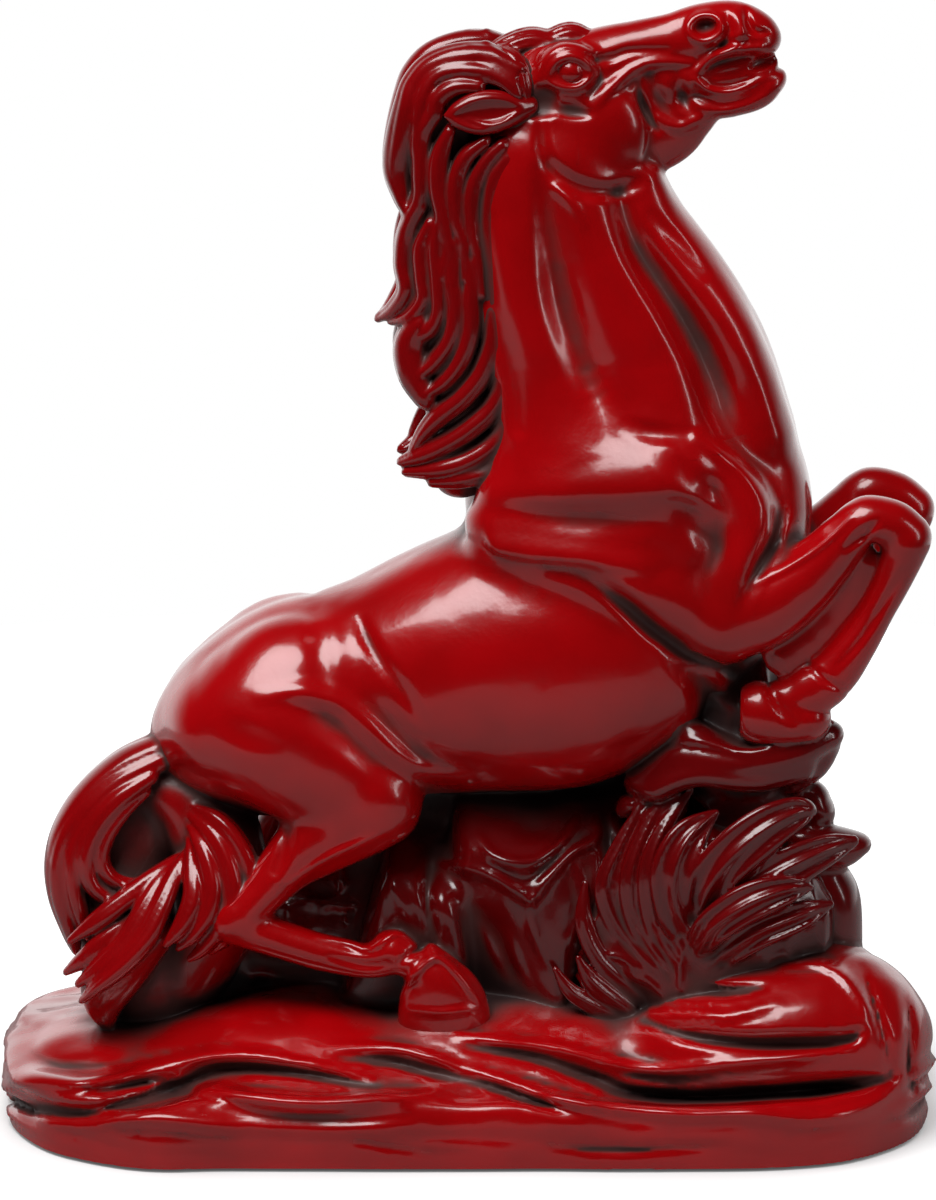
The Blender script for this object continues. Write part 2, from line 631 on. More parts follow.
def anatomy(clay):
    """Valleys, creases and ridges of the muscles, carved alike on both sides."""
    for path in (
        # Neck: soft hollows between its long muscles, the deepest beside the windpipe
        [[13.4, 169, 3, -0.5], [15, 158, 4.6, -1.6], [17.2, 146, 5.6, -1.9], [21, 134, 5.6, -1.2],
         [24, 127, 4, -0.2]],
        [[26.4, 164.5, 2.6, -0.6], [29.6, 155.6, 3.8, -1.4], [35, 147, 4.6, -1.7], [41.4, 137, 5.4, -1.7],
         [46.4, 127, 6, -1.6], [50.6, 117, 6, -1.2], [54, 108, 4.6, -0.6]],
        [[22.4, 163, 3, 0.3], [26.4, 153, 4, 0.8], [32, 143.6, 4.4, 0.9], [36.4, 135, 4.4, 0.8],
         [39, 126, 3.4, 0.3]],
        [[32.4, 161, 1.8, -0.3], [36.4, 156.4, 2, -0.6], [41, 150.6, 2, -0.3]],
        [[15.4, 166, 1.6, 0.4], [18.6, 163, 1.8, 0.6], [20.4, 159.6, 1.6, 0.2]],
        [[3, 160, 2.6, -0.5], [4.4, 147, 3, -1.1], [8, 133, 3, -1.2], [9, 123, 2.6, -0.5]],
        # Shoulder: the shelf of the blade, its front ridge and the hollow under it
        [[28, 123.4, 2.2, -0.2], [32, 122, 2.6, -0.7], [38, 121.6, 2.2, -0.3]],
        [[34, 117.4, 2.4, -0.3], [38, 114.4, 3.4, -0.9], [43, 111, 3.2, -0.7], [45, 106, 2.6, -0.2]],
        [[40, 121.4, 1.6, 0.3], [44.6, 118, 1.9, 0.8], [48.8, 114.2, 1.9, 0.9], [51.6, 109.4, 1.9, 0.7],
         [52.4, 104, 1.6, 0.2]],
        [[8, 108, 2.4, -0.2], [14, 107, 3, -0.4], [22, 106.2, 3.2, -0.6], [29, 105.8, 3, -0.4],
         [33, 106.8, 2.6, -0.1]],
        [[37, 108, 3, -0.3], [40.6, 106, 4, -1.0], [42.4, 101.6, 3.8, -0.8], [41, 97, 3, -0.2]],
        [[54.6, 108, 2, -0.5], [53.2, 103, 2.4, -1.4], [50.6, 97, 2.4, -1.7], [48, 90, 2, -0.9]],
        # Crease behind the upper arm, and the end of the ribs under it
        [[14, 97.4, 2, -0.4], [21, 95.8, 2.6, -1.2], [27.4, 91.4, 2.6, -1.9], [33, 86.2, 2.6, -2.1],
         [39, 82.4, 2.4, -1.9], [46, 79.6, 2.2, -0.9]],
        [[36, 82, 3, -0.5], [40.6, 77, 3.8, -1.8], [42.6, 70, 3.8, -1.6], [40, 63.6, 3, -0.5]],
        # Flank: the crease before the haunch, the hollow behind it and the fold that runs under the belly
        [[-18.6, 88.6, 1.6, -0.3], [-17.2, 84.4, 1.9, -0.9], [-14.4, 80, 2, -0.8], [-11.2, 75.6, 2, -0.7],
         [-8, 70, 1.8, -0.3]],
        [[-31, 72.6, 3, -0.3], [-25.6, 70.6, 4.4, -1.1], [-20.6, 67, 4.4, -1.1], [-16, 62.4, 3.6, -0.6],
         [-12, 58.6, 2.2, -0.2]],
        [[-36, 74.6, 2, 0.3], [-29, 75.4, 3, 0.8], [-22.4, 73, 3.4, 1.1], [-16.4, 67.6, 3.4, 1.1],
         [-9.4, 61.6, 3, 0.9], [0, 59.4, 2.4, 0.4]],
        [[-17, 73.6, 2.4, -0.2], [-12.4, 69, 3, -0.5], [-7, 64.4, 3, -0.5], [0, 61.8, 2.4, -0.2]],
        [[-42, 69.4, 2.6, -0.2], [-38, 67.4, 3.4, -0.5], [-34, 66, 2.6, -0.2]],
        [[-27, 91, 2.6, -0.2], [-26, 85, 3.4, -0.7], [-25.4, 79, 3, -0.5], [-25, 75, 2.4, -0.1]],
    ):
        clay.carve_both(path)


def foreleg(side, lift, reach):
    """The forearm reaches forward to the knee, and the cannon folds back under it to the hoof."""
    clay = Clay()

    def run(rows):
        return limb([[x + reach * min(max((x - 50) / 12, 0), 1), side * KNEE, w + KNEE * SLOPE + lift, h, b]
                     for x, w, h, b in rows], steps=8)

    clay.add(run([
        [44, 88, 7.4, 6.8],
        [51, 90.4, 7.2, 6.6],
        [57, 94.4, 6.3, 6],
        [62, 98.9, 5.2, 5.3],
        [66, 103.2, 4.4, 4.9],
        [69.6, 106.3, 4.1, 4.8],
        [74, 105.6, 4.2, 4.6],
        [76.4, 103.6, 4.2, 4.4],
    ]))
    # Cap of the knee
    clay.add(run([[70.4, 107.6, 2.6, 3.6], [74.5, 106.2, 2.8, 3.8], [78, 104, 2.6, 3.4]]), 1)
    clay.add(run([
        [76.6, 102, 4.1, 4.3],
        [74.2, 95.5, 3.4, 3.7],
        [71.2, 89.5, 3.1, 3.5],
        [67.8, 84, 3.7, 4],
        [64.4, 79.4, 4.3, 4.4],
        [60.5, 76, 4.4, 4.4],
    ]), 1.2)
    # Web that the casting leaves in the bend of the knee
    clay.add(run([[68.4, 99.4, 3.8, 1.8], [64.4, 92, 4.8, 1.2], [60, 86, 4.8, 1.2],
                  [55, 81.6, 3.8, 1.8]]), 0.8)
    # Pastern and hoof, with the coronet as a step between them
    clay.add(run([[62, 77, 4.2, 4.2], [58, 74.4, 4.4, 4.4], [54, 73, 4.2, 4.2]]), 1.5)
    clay.add(run([[59, 70.8, 4.4, 4.8], [55, 70.8, 5, 5.3], [52, 71.6, 5.8, 5.6],
                  [50.8, 71.8, 5.4, 5]]), 0.5)
    # Flat front of the hoof
    clay.cut(ball([36.6, side * KNEE, 72 + KNEE * SLOPE + lift], [11.4, 13, 13]), 0.5)
    for path in (
        [[52, 78, 0.9, -0.4], [53.4, 74.6, 1.1, -0.9], [55.4, 71.4, 1.0, -0.8], [57.4, 69.6, 0.8, -0.3]],
        [[66.2, 101.2, 1.1, -0.4], [68.8, 103.6, 1.5, -1.1], [71.6, 105.8, 1.1, -0.4]],
        [[50, 94.8, 1.2, 0.2], [56, 98, 1.3, 0.6], [62, 102, 1.2, 0.6], [67, 106.8, 1.0, 0.3]],
        [[76, 97, 1.4, -0.2], [72.6, 91, 1.3, -0.6], [68.6, 84.6, 1.2, -0.5], [64.6, 80, 1.0, -0.2]],
        [[59.6, 80.4, 1, -0.3], [62.4, 77.6, 1.2, -0.6], [66, 75.6, 1, -0.3]],
    ):
        clay.carve([[x + reach, v + lift, a, b] for x, v, a, b in path], side=side)
    return clay


def hind_leg(side):
    """The hock rests behind, and the cannon lies forward along the rock to the hoof."""
    clay = Clay()

    def run(rows):
        off = [(x, HOCK + out, w, h, b) for x, out, w, h, b in rows]
        return limb([[x, side * y, w + y * SLOPE, h, b] for x, y, w, h, b in off], steps=8)

    clay.add(run([
        [-16, -3, 57, 7, 8],
        [-18, -2.5, 53.5, 7, 7.6],
        [-25, -2, 49.5, 6.6, 6.8],
        [-31, -1.5, 44.8, 5, 5.6],
        [-35.5, -0.5, 39.6, 4, 4.8],
        [-39, 0, 35.6, 3.8, 4.5],
    ]))
    clay.add(run([
        [-41, 0, 33.8, 3.8, 4.2],
        [-33, 0.2, 31, 3.4, 4],
        [-25, 0.8, 28.4, 3.2, 3.8],
        [-18, 1.4, 27, 3, 3.8],
        [-13.4, 1.6, 28.2, 3.6, 4.2],
    ]), 1.5)
    clay.add(run([
        [-13, 1.6, 29.2, 3.2, 4],
        [-9.5, 2, 26.6, 3, 4.2],
        [-7, 2, 24.5, 3.4, 4.8],
    ]), 1)
    # Hoof, which widens down to the ground
    clay.add(run([
        [-5.8, 2.2, 26, 2.4, 4.4],
        [-4.8, 2.6, 22.4, 5.4, 5.4],
        [-4.2, 2.4, 18.4, 7.8, 5.6],
        [-4, 2, 14, 8.2, 5.6],
    ]), 0.8)
    for path in (
        [[-26, 31.4, 0.9, 0.2], [-21, 30.4, 1.0, 0.7], [-17, 29.2, 1.0, 0.7], [-12.4, 32, 1.0, 0.7],
         [-9, 29.4, 0.9, 0.3]],
        [[-24, 27.6, 1.2, -0.3], [-18, 26.2, 1.4, -0.8], [-13.6, 26.6, 1.2, -0.5]],
        [[-11.4, 20.6, 1, 0.3], [-9.4, 24.4, 1.1, 0.8], [-5.4, 27.6, 1.1, 0.9], [-1.4, 24.4, 1.2, 0.9],
         [2, 19.6, 1, 0.4]],
        [[-10, 18, 1, 0.2], [-4, 17.6, 1.2, 0.6], [3, 18.6, 1, 0.2]],
        [[-12.4, 26.4, 0.9, -0.3], [-9.6, 28.4, 1.0, -0.8], [-7.4, 30, 0.8, -0.3]],
        [[-31, 52, 1.6, -0.3], [-31.6, 47.6, 2, -0.9], [-33.4, 43, 1.6, -0.4]],
        [[-12, 51.6, 1.2, 0.2], [-18, 48.4, 1.4, 0.7], [-25, 45, 1.3, 0.7], [-31, 40.8, 1.2, 0.3]],
    ):
        clay.carve(path, side=side)
    return clay


near_foreleg = foreleg(-1, 0, 0)
far_foreleg = foreleg(1, -2.6, 0.5)
near_hind_leg = hind_leg(-1)
far_hind_leg = hind_leg(1)
flesh = Clay()
trunk(flesh)
neck_muscle(flesh)
skull(flesh)
anatomy(flesh)
for leg in (near_foreleg, far_foreleg, near_hind_leg, far_hind_leg):
    flesh.add(leg, 2.5)
knead(flesh, *everywhere(), 7, 0.12)
knead(flesh, *everywhere(), 2.6, 0.035)


# Hair. Locks are rows of [x, y, side-view height, half-height, half-width] and end in points.

MANE_DEPTH = 9.6
MANE_REACH = 15.5
MANE_FRONT = 2
MANE_TOP = 178
LOCK_SINK = 0.7
LOCK_HEIGHT = 1.25
LOCK_WIDTH = 1.3
LOCK_EXTRA = 0.6
EAR_OUT = 0.8
TAIL_FULLNESS = 1.22


def mane_side(x, w):
    """How far from the middle the mane's surface lies, on a half round about the poll and the crest."""
    out = math.hypot(min(x - MANE_FRONT, 0), max(w - MANE_TOP, 0)) / MANE_REACH
    return MANE_DEPTH * math.sqrt(max(1 - out * out, 0))


def mane():
    """Waves of hair on both sides, as rows of [x, side-view height, half-width]."""
    clay = Clay()
    clay.add(limb([
        [7, 0, 186, 4, 4.5],
        [-1, 0, 183, 6.4, 6],
        [-4, 0, 174, 6.6, 6.6],
        [-3.5, 0, 162, 7, 7.4],
        [-3, 0, 150, 7, 7.4],
        [-2, 0, 138, 7.4, 8],
        [0, 0, 127, 7.4, 8],
        [0, 0, 118, 6, 7],
        [-2, 0, 114.6, 2.6, 4],
    ], steps=8))
    waves = [
        # From the poll over the top and down the back
        [[9, 187.4, 1.4], [4, 189.8, 1.8], [-1, 189.8, 2], [-6, 188.2, 2], [-9, 185, 2], [-10.2, 181, 2.2],
         [-11.4, 175, 2.4], [-12, 170, 2.2], [-11.4, 165.4, 1]],
        [[8, 184.6, 1], [3, 187, 1.5], [-2, 187.4, 1.6], [-5.6, 186, 1.6], [-7.6, 182.6, 1.6],
         [-8.4, 178.6, 1.4], [-9, 174, 0.8]],
        [[2, 184.4, 0.9], [-2, 184.4, 1.3], [-5, 182.4, 1.5], [-6, 179.4, 1.4], [-8.6, 175.6, 1.0],
         [-9.4, 172.6, 0.5]],
        [[0.6, 191.2, 0.7], [3.4, 188.8, 1.0], [6.4, 185.6, 1.0], [8.2, 183, 0.6]],
        [[3.6, 191.6, 0.7], [5.4, 189, 1.0], [7.6, 186, 1.0], [9, 183, 0.6]],
        # Beside and below the ear
        [[-9.4, 179, 1.2], [-11, 174.6, 1.8], [-12.2, 169.6, 2], [-11.6, 165, 1.4], [-10.4, 161.4, 0.8]],
        [[-6.6, 178, 0.9], [-8, 174.4, 1.4], [-8, 169.4, 1.6], [-8.2, 164.6, 1.4], [-10, 160.6, 1.2],
         [-11.6, 156, 0.7]],
        [[-3, 176.6, 0.9], [-4.8, 172, 1.5], [-5, 166.6, 1.7], [-4, 161, 1.6], [-3.2, 155.6, 1.3],
         [-4.4, 150.6, 0.8]],
        [[3, 174.6, 0.9], [-0.4, 171.6, 1.3], [-2, 167, 1.4], [-1.8, 161, 1.4], [-0.4, 155.6, 1.2],
         [-0.4, 150, 0.7]],
        [[6, 174, 0.9], [3, 170.6, 1.2], [1, 166, 1.4], [0.8, 160, 1.3], [2, 153.4, 1.2], [2.6, 147, 0.8]],
        [[7, 171.6, 0.8], [4.6, 168, 1.1], [3.6, 161.6, 1.2], [4.2, 153, 1.1], [4.6, 146, 0.7]],
        # The curl half way down the back
        [[-8, 163, 0.9], [-10.4, 158.6, 1.5], [-11, 153, 1.7], [-10.6, 148, 1.5], [-12.6, 144.6, 1.3],
         [-15.4, 142.8, 0.5]],
        [[-6.4, 160, 0.9], [-8, 155.4, 1.4], [-7.8, 150.4, 1.5], [-7.6, 146.4, 1.4], [-9.6, 143.4, 1.3],
         [-13, 142.2, 0.6]],
        [[-4.6, 161, 0.9], [-5.4, 155.6, 1.4], [-5, 149.6, 1.5], [-5, 144, 1.4], [-6.8, 140.4, 1.2],
         [-10, 139.4, 0.6]],
        [[-2, 156.6, 0.9], [-2.6, 150.6, 1.4], [-2, 144.6, 1.5], [-3, 139, 1.5], [-6, 134.6, 1.3],
         [-8.4, 132.6, 0.7]],
        [[1, 153, 0.9], [0.6, 147, 1.4], [0.6, 141, 1.5], [-1, 135.6, 1.5], [-4, 131.4, 1.3],
         [-7.4, 129, 0.7]],
        [[-8, 142, 1.8], [-9.8, 138, 2.6], [-9.2, 133, 2.6], [-7.4, 128.6, 1.8]],
        # Lower locks, which sweep from the crest down to the back
        [[4.6, 144, 0.9], [4.4, 138.6, 1.5], [2.6, 133, 1.7], [-0.8, 128.6, 1.7], [-4.6, 125.4, 1.6],
         [-7.4, 122.4, 1.2], [-9.4, 119.4, 0.7]],
        [[6.2, 138, 0.9], [6.4, 132, 1.5], [4.6, 127, 1.7], [1, 123.4, 1.7], [-3, 120.6, 1.6],
         [-7.4, 118.4, 1.5], [-11.4, 117, 0.7]],
        [[7.4, 131, 0.9], [7.6, 125.4, 1.5], [5, 120.6, 1.7], [0.6, 117.4, 1.8], [-4.4, 115.8, 1.7],
         [-10.4, 115.2, 0.9]],
        [[8, 124, 0.9], [7.4, 119, 1.4], [4, 115.4, 1.6], [-1, 113.8, 1.4], [-6, 113.2, 0.8]],
    ]
    for rows in waves:
        for side in (-1, 1):
            lock = []
            for x, w, h in rows:
                y = max(mane_side(x, w) - LOCK_SINK * h, 0)
                lock.append([x, side * y, w + y * SLOPE, LOCK_HEIGHT * h, LOCK_WIDTH * h + LOCK_EXTRA])
            clay.add(limb(lock, steps=6, strands=(2, 0.3, 0.05 * side)), 0.7)
    return clay


def forelock():
    clay = Clay()
    tufts = [
        ([[2, -1, 187.6, 1.6, 2.4], [6, -1, 190.6, 2.4, 3.4], [10.6, 0, 192.7, 2.3, 3.6],
          [14.6, 0, 192.4, 1.7, 3], [17, 0, 191.2, 0.7, 1.4]], 5),
        ([[9, 0, 189.6, 1.6, 2.6], [13, 0.5, 191.8, 1.9, 3.2], [17.4, 0.5, 193.8, 2.1, 3],
          [20.4, 0.5, 193.4, 1.5, 2.2], [21.9, 0.5, 192.2, 0.6, 1]], 5),
        ([[6.5, -3.5, 190.6, 1.2, 2], [8.2, -5.6, 188.6, 2, 2.4], [9.3, -7, 185, 2.1, 2.2],
          [10.2, -7.6, 181.6, 0.9, 1.1]], 4),
        ([[4, -4.5, 189.6, 1.2, 2], [5, -6.6, 187, 1.8, 2.2], [6.4, -8, 184.6, 1, 1.4]], 4),
        ([[6.5, 3.5, 188.8, 1.2, 2], [8.2, 5.6, 185.8, 2, 2.4], [9.3, 7, 181.6, 2.1, 2.2],
          [10.2, 7.6, 178, 0.9, 1.1]], 4),
    ]
    for rows, count in tufts:
        clay.add(limb(seen(rows), steps=9, strands=(count, 0.5, 0.05)), 0.5)
    return clay


def ear(side):
    """Laid back against the mane, and hollow along its length."""
    clay = Clay()
    out = HEAD + EAR_OUT
    clay.add(limb([
        [10.6, side * (out - 2), 182.8, 1.8, 1.8],
        [7, side * (out - 0.6), 182.4, 3.2, 2.4],
        [3, side * out, 182.0, 4.0, 2.6],
        [-0.6, side * (out + 0.4), 181.7, 2.8, 2],
        [-3.4, side * (out + 0.6), 181.6, 0.6, 0.9],
    ], steps=9))
    clay.cut(limb([
        [9, side * (out + 1.9), 182.9, 0.7, 1.0],
        [6, side * (out + 2.4), 182.6, 2.3, 1.7],
        [2.6, side * (out + 2.7), 182.2, 2.8, 1.8],
        [-0.4, side * (out + 2.6), 181.9, 1.6, 1.3],
        [-2, side * (out + 2.4), 181.8, 0.5, 0.8],
    ], steps=9), 0.4)
    clay.carve([[0, 178.6, 0.5, 0.2], [3, 177.6, 0.6, 0.5], [6, 178, 0.6, 0.5],
                [8.6, 179.8, 0.5, 0.2]], side=side)
    return clay


def tail():
    clay = Clay()
    # The filled ground of the curl
    clay.add(limb([[-50, 0, 60, 5, 6], [-55, 0, 54, 8, 6], [-60, -1, 46, 9.5, 6.5], [-60, -2, 37, 9, 8],
                   [-56, -1, 28, 11, 10], [-53, 1, 18, 12, 11]], steps=8))
    clay.add(limb([[-52, -2, 58, 5, 6], [-46, -3, 54, 8, 8], [-43, -4, 45, 8, 9], [-44, -4, 35, 7, 9],
                   [-48, -2, 26, 7, 9]],
                  steps=8), 1.5)
    locks = [
        # The arch from the dock, over and down the back
        [[-53, -2, 66, 2, 5], [-60, -3, 62.4, 2.2, 5.4], [-66, -4, 57, 2.2, 5.4], [-70, -5, 51, 2, 5],
         [-71.6, -5.6, 45, 1.9, 4.6], [-71.2, -6.4, 39, 1.8, 4], [-69.4, -7, 33, 1.5, 3],
         [-68.4, -7, 29, 0.7, 1.4]],
        [[-54, -6, 62.8, 1.6, 2.6], [-60.4, -7, 59, 1.9, 3], [-65.6, -7.8, 53.6, 1.9, 3],
         [-68.6, -8, 47.6, 1.8, 3], [-69, -8.4, 41.6, 1.7, 3], [-67.8, -9, 36, 1.4, 2.6],
         [-66.4, -9.4, 31.6, 0.7, 1.4]],
        [[-55.6, -7.6, 60, 1.2, 2.4], [-61, -9, 56, 1.6, 2.8], [-65, -9.4, 50.6, 1.7, 2.8],
         [-66.6, -9.6, 45, 1.6, 2.8], [-65.2, -10, 40.4, 1.4, 2.6], [-61.6, -10.6, 38.2, 1.2, 2.2],
         [-58, -11, 38.8, 0.6, 1]],
        [[-56.4, -8, 57.4, 0.9, 1.8], [-60.4, -9.4, 53.6, 1.3, 2.2], [-63.4, -9.8, 48.6, 1.4, 2.2],
         [-63.8, -10, 44.4, 1.3, 2.2], [-61.4, -10.4, 41.4, 1.1, 2], [-57.4, -10.8, 40.8, 0.9, 1.8],
         [-54, -11, 42.6, 0.5, 0.8]],
        # Locks that swirl round beside the hock
        [[-47.4, -9, 54.6, 0.8, 1.6], [-43.4, -12.6, 52.2, 1.4, 2.4], [-39.9, -14.6, 47.8, 1.6, 2.6],
         [-38, -15.6, 42.6, 1.7, 2.8], [-38.6, -16, 37, 1.6, 2.6], [-41.6, -16.2, 31.8, 1.3, 2.2],
         [-44.8, -16, 28.6, 0.6, 1]],
        [[-47.8, -9.6, 53, 0.7, 1.6], [-44.4, -13.2, 49.6, 1.5, 2.4], [-41.8, -15.6, 44.4, 1.7, 2.8],
         [-41, -17, 39, 1.8, 2.8], [-42.6, -17.6, 34, 1.5, 2.4], [-46, -17.6, 29.4, 1.1, 2],
         [-48.6, -17.4, 27.2, 0.5, 0.8]],
        [[-48, -10, 50.8, 0.7, 1.6], [-46, -14, 46.4, 1.4, 2.4], [-44.6, -16.6, 41, 1.6, 2.8],
         [-45.2, -18, 36, 1.5, 2.6], [-47.6, -18.4, 32, 1.2, 2.2], [-50.4, -18.4, 29.2, 0.5, 1]],
        [[-48.4, -10.4, 48.4, 0.7, 1.6], [-48, -14.2, 43, 1.4, 2.4], [-48, -17, 38.2, 1.6, 2.8],
         [-49.8, -18.4, 33.6, 1.4, 2.6], [-52.6, -18.8, 30, 0.6, 1.2]],
        # Locks that fall away to the back
        [[-49, -10.4, 46.6, 0.7, 1.6], [-51.4, -13.6, 41.6, 1.4, 2.4], [-53.6, -16.4, 36.4, 1.7, 2.8],
         [-56, -18, 31.4, 1.8, 3], [-59.6, -18.6, 27, 1.7, 2.8], [-64, -18.2, 23, 1.3, 2.4],
         [-67.4, -17, 19.8, 0.5, 1]],
        [[-50.2, -10, 45.6, 0.7, 1.6], [-54, -13, 40.6, 1.4, 2.4], [-56.8, -15.4, 35.6, 1.6, 2.8],
         [-59.6, -16.8, 30.4, 1.7, 2.8], [-63.6, -17, 26.2, 1.5, 2.6], [-68, -16, 22.8, 0.6, 1]],
        [[-51, -9.6, 45.4, 0.7, 1.6], [-55.8, -12, 41.4, 1.4, 2.4], [-60.4, -13.8, 37.6, 1.6, 2.6],
         [-64.6, -14.6, 34.2, 1.5, 2.4], [-69.4, -14, 30.6, 0.6, 1]],
        [[-58, -14, 35, 1, 2], [-63.4, -15, 30.8, 1.5, 2.6], [-67, -14.8, 27.4, 1.3, 2.4],
         [-70, -14, 25, 0.6, 1]],
        [[-56, -11, 32, 4, 5], [-61.4, -12, 25.6, 4.6, 5.6], [-63.4, -11.4, 20, 3, 4],
         [-62.6, -10, 15.4, 0.8, 1.4]],
    ]
    for rows in locks:
        full = [[x, y, w, TAIL_FULLNESS * h, b] for x, y, w, h, b in rows]
        clay.add(limb(seen(full), steps=7, strands=(2, 0.3, 0.05)), 0.6)
    # The far side of the tail, plainer
    for rows, count in (
        ([[-49, 3, 64, 4, 5], [-56, 4, 61, 4.4, 5], [-63, 5, 55, 4.4, 5], [-66.4, 6, 46, 4.4, 5.6],
          [-65, 7, 36, 5, 6], [-61, 8, 26, 5, 6], [-58, 8, 16, 3, 4]], 7),
        ([[-50, 6, 56, 3, 4], [-55, 9, 48, 4, 5], [-56, 11, 38, 4.6, 5.4], [-53, 12, 28, 4.6, 5.4],
          [-52, 12, 18, 3, 4]], 7),
    ):
        clay.add(limb(seen(rows), steps=9, strands=(count, 0.6, -0.06)), 0.8)
    return clay


# Rocks, leaves and the plinth

LEAF_WIDTH = 1.3
LEAF_THICKNESS = 0.8
CHANNEL_OFF = 0.52
CHANNEL_WIDTH = 0.55
LEAST_CHANNEL = 0.5
CHANNEL_END = 0.1
ROUGHENED = (16, -40, 12), (90, 40, 95)
BED_HEIGHT = 4.6
BED_WAVE = 2.2
BED_WAVE_LENGTH = 9
BED_STRETCH = np.array([[0.35], [0.5], [1]], np.float32)
BED_DIP = 0.05
BED_EDGE = 0.8
BEDS_IN_FRONT = 0.25
BEDS_FADE_FROM, BEDS_FADE_OVER = -30, 10
BEDS_TOP, BEDS_TOP_FADE = 16, 4
BEDS_BOTTOM, BEDS_BOTTOM_FADE = 1.2, 2
RELIEF = 1.4


def belly_rock():
    clay = Clay()
    ground = [
        [0, 0, 1, 31],
        [-1, 0, 0.55, 38],
        [1, 0, 0.05, 38],
        [0, -1, 0.1, 12],
        [0, 1, 0.25, 5],
        [0, 0, -1, 24],
    ]
    clay.add(rock([4, 8, 34], 60, ground, 3))
    knead(clay, *everywhere(), 9, 1.6, ridged=True)
    knead(clay, *everywhere(), 4, 0.5, ridged=True)
    # Rough ground under the near cannon
    for side in (-1, 1):
        clay.add(ball([-30, side * 10, 12], [25, 11, 11]), 2)
        clay.add(ball([-8, side * 10, 12], [14, 10, 11]), 2)
    knead(clay, (-62, -40, 8), (-2, 40, 34), 3.4, 0.55, ridged=True)
    # The block that takes the weight of the belly, hollowed on top
    block = [
        [0.1, -0.6, 1, 11.5],
        [0.5, -1, 0.1, 10],
        [-0.55, -1, -0.3, 9.5],
        [-1, -0.1, 0.2, 14],
        [1, 0, -0.35, 13],
        [0, 1, 0, 22],
        [0, 0, -1, 30],
    ]
    clay.add(rock([10, -9, 42], 34, block, 3.6), 1.5)
    clay.add(rock([-8, -8, 38], 24, [[0.3, -0.5, 1, 9], [-0.2, -1, -0.1, 9], [-1, 0, 0.3, 9],
                                     [1, -0.3, 0, 9], [0, 1, 0, 12]], 4), 3)
    clay.add(rock([26, -8, 40], 24, [[0, -0.4, 1, 11], [-0.3, -1, -0.1, 8], [-1, 0, 0.2, 7],
                                     [1, -0.3, 0, 7], [0, 1, 0, 12]], 4), 3)
    knead(clay, (-30, -34, 10), (40, 0, 66), 6, 0.5)
    clay.cut(ball([11, -24, 58.4], [9, 6.4, 5.4], 8), 1.2)
    clay.carve([[2, 49.4, 1.2, 0.3], [5, 45.6, 1.4, 0.9], [11.5, 44.8, 1.4, 1.0], [16.6, 48.4, 1.4, 0.9],
                [19, 53, 1.1, 0.3]])
    clay.carve([[-6, 45, 1.4, 0.2], [0, 43.4, 1.5, 0.7], [5.4, 41.6, 1.5, 0.8], [11, 38, 1.5, 1.0],
                [14, 41.6, 1.5, 0.9], [18, 46.4, 1.5, 0.9], [22.6, 49, 1.4, 0.9], [22.4, 53, 1.2, 0.3]])
    clay.carve([[4, 43.8, 1.3, -0.4], [10, 41.6, 1.8, -1.0], [15, 45, 1.5, -0.9], [20, 50, 1.2, -0.3]])
    clay.carve([[11, 37.4, 1.4, 0.8], [11.6, 32, 1.4, 0.7], [14, 26, 1.2, 0.2]])
    clay.carve([[19, 44, 1.4, 0.3], [20.4, 37, 1.6, 0.8], [17.6, 30, 1.4, 0.3]])
    for x, w, lean in ((-14, 44, 4), (-9, 40, 3), (-3, 36, 3), (2, 34, 5), (7, 32, 4), (23, 36, -3)):
        clay.carve([[x, w, 1.3, 0.1], [x + lean * 0.4, w - 5, 1.5, 0.6], [x + lean, w - 11, 1.2, 0.1]])
    clay.carve([[-6, 46, 2, -0.6], [-7, 38, 2.6, -1.6], [-6, 28, 2.4, -1.2], [-4, 20, 2, -0.5]], sharp=True)
    clay.carve([[24, 52, 2, -0.6], [25, 42, 2.4, -2], [22, 32, 2.4, -1.6], [20, 24, 2, -0.6]], sharp=True)
    return clay


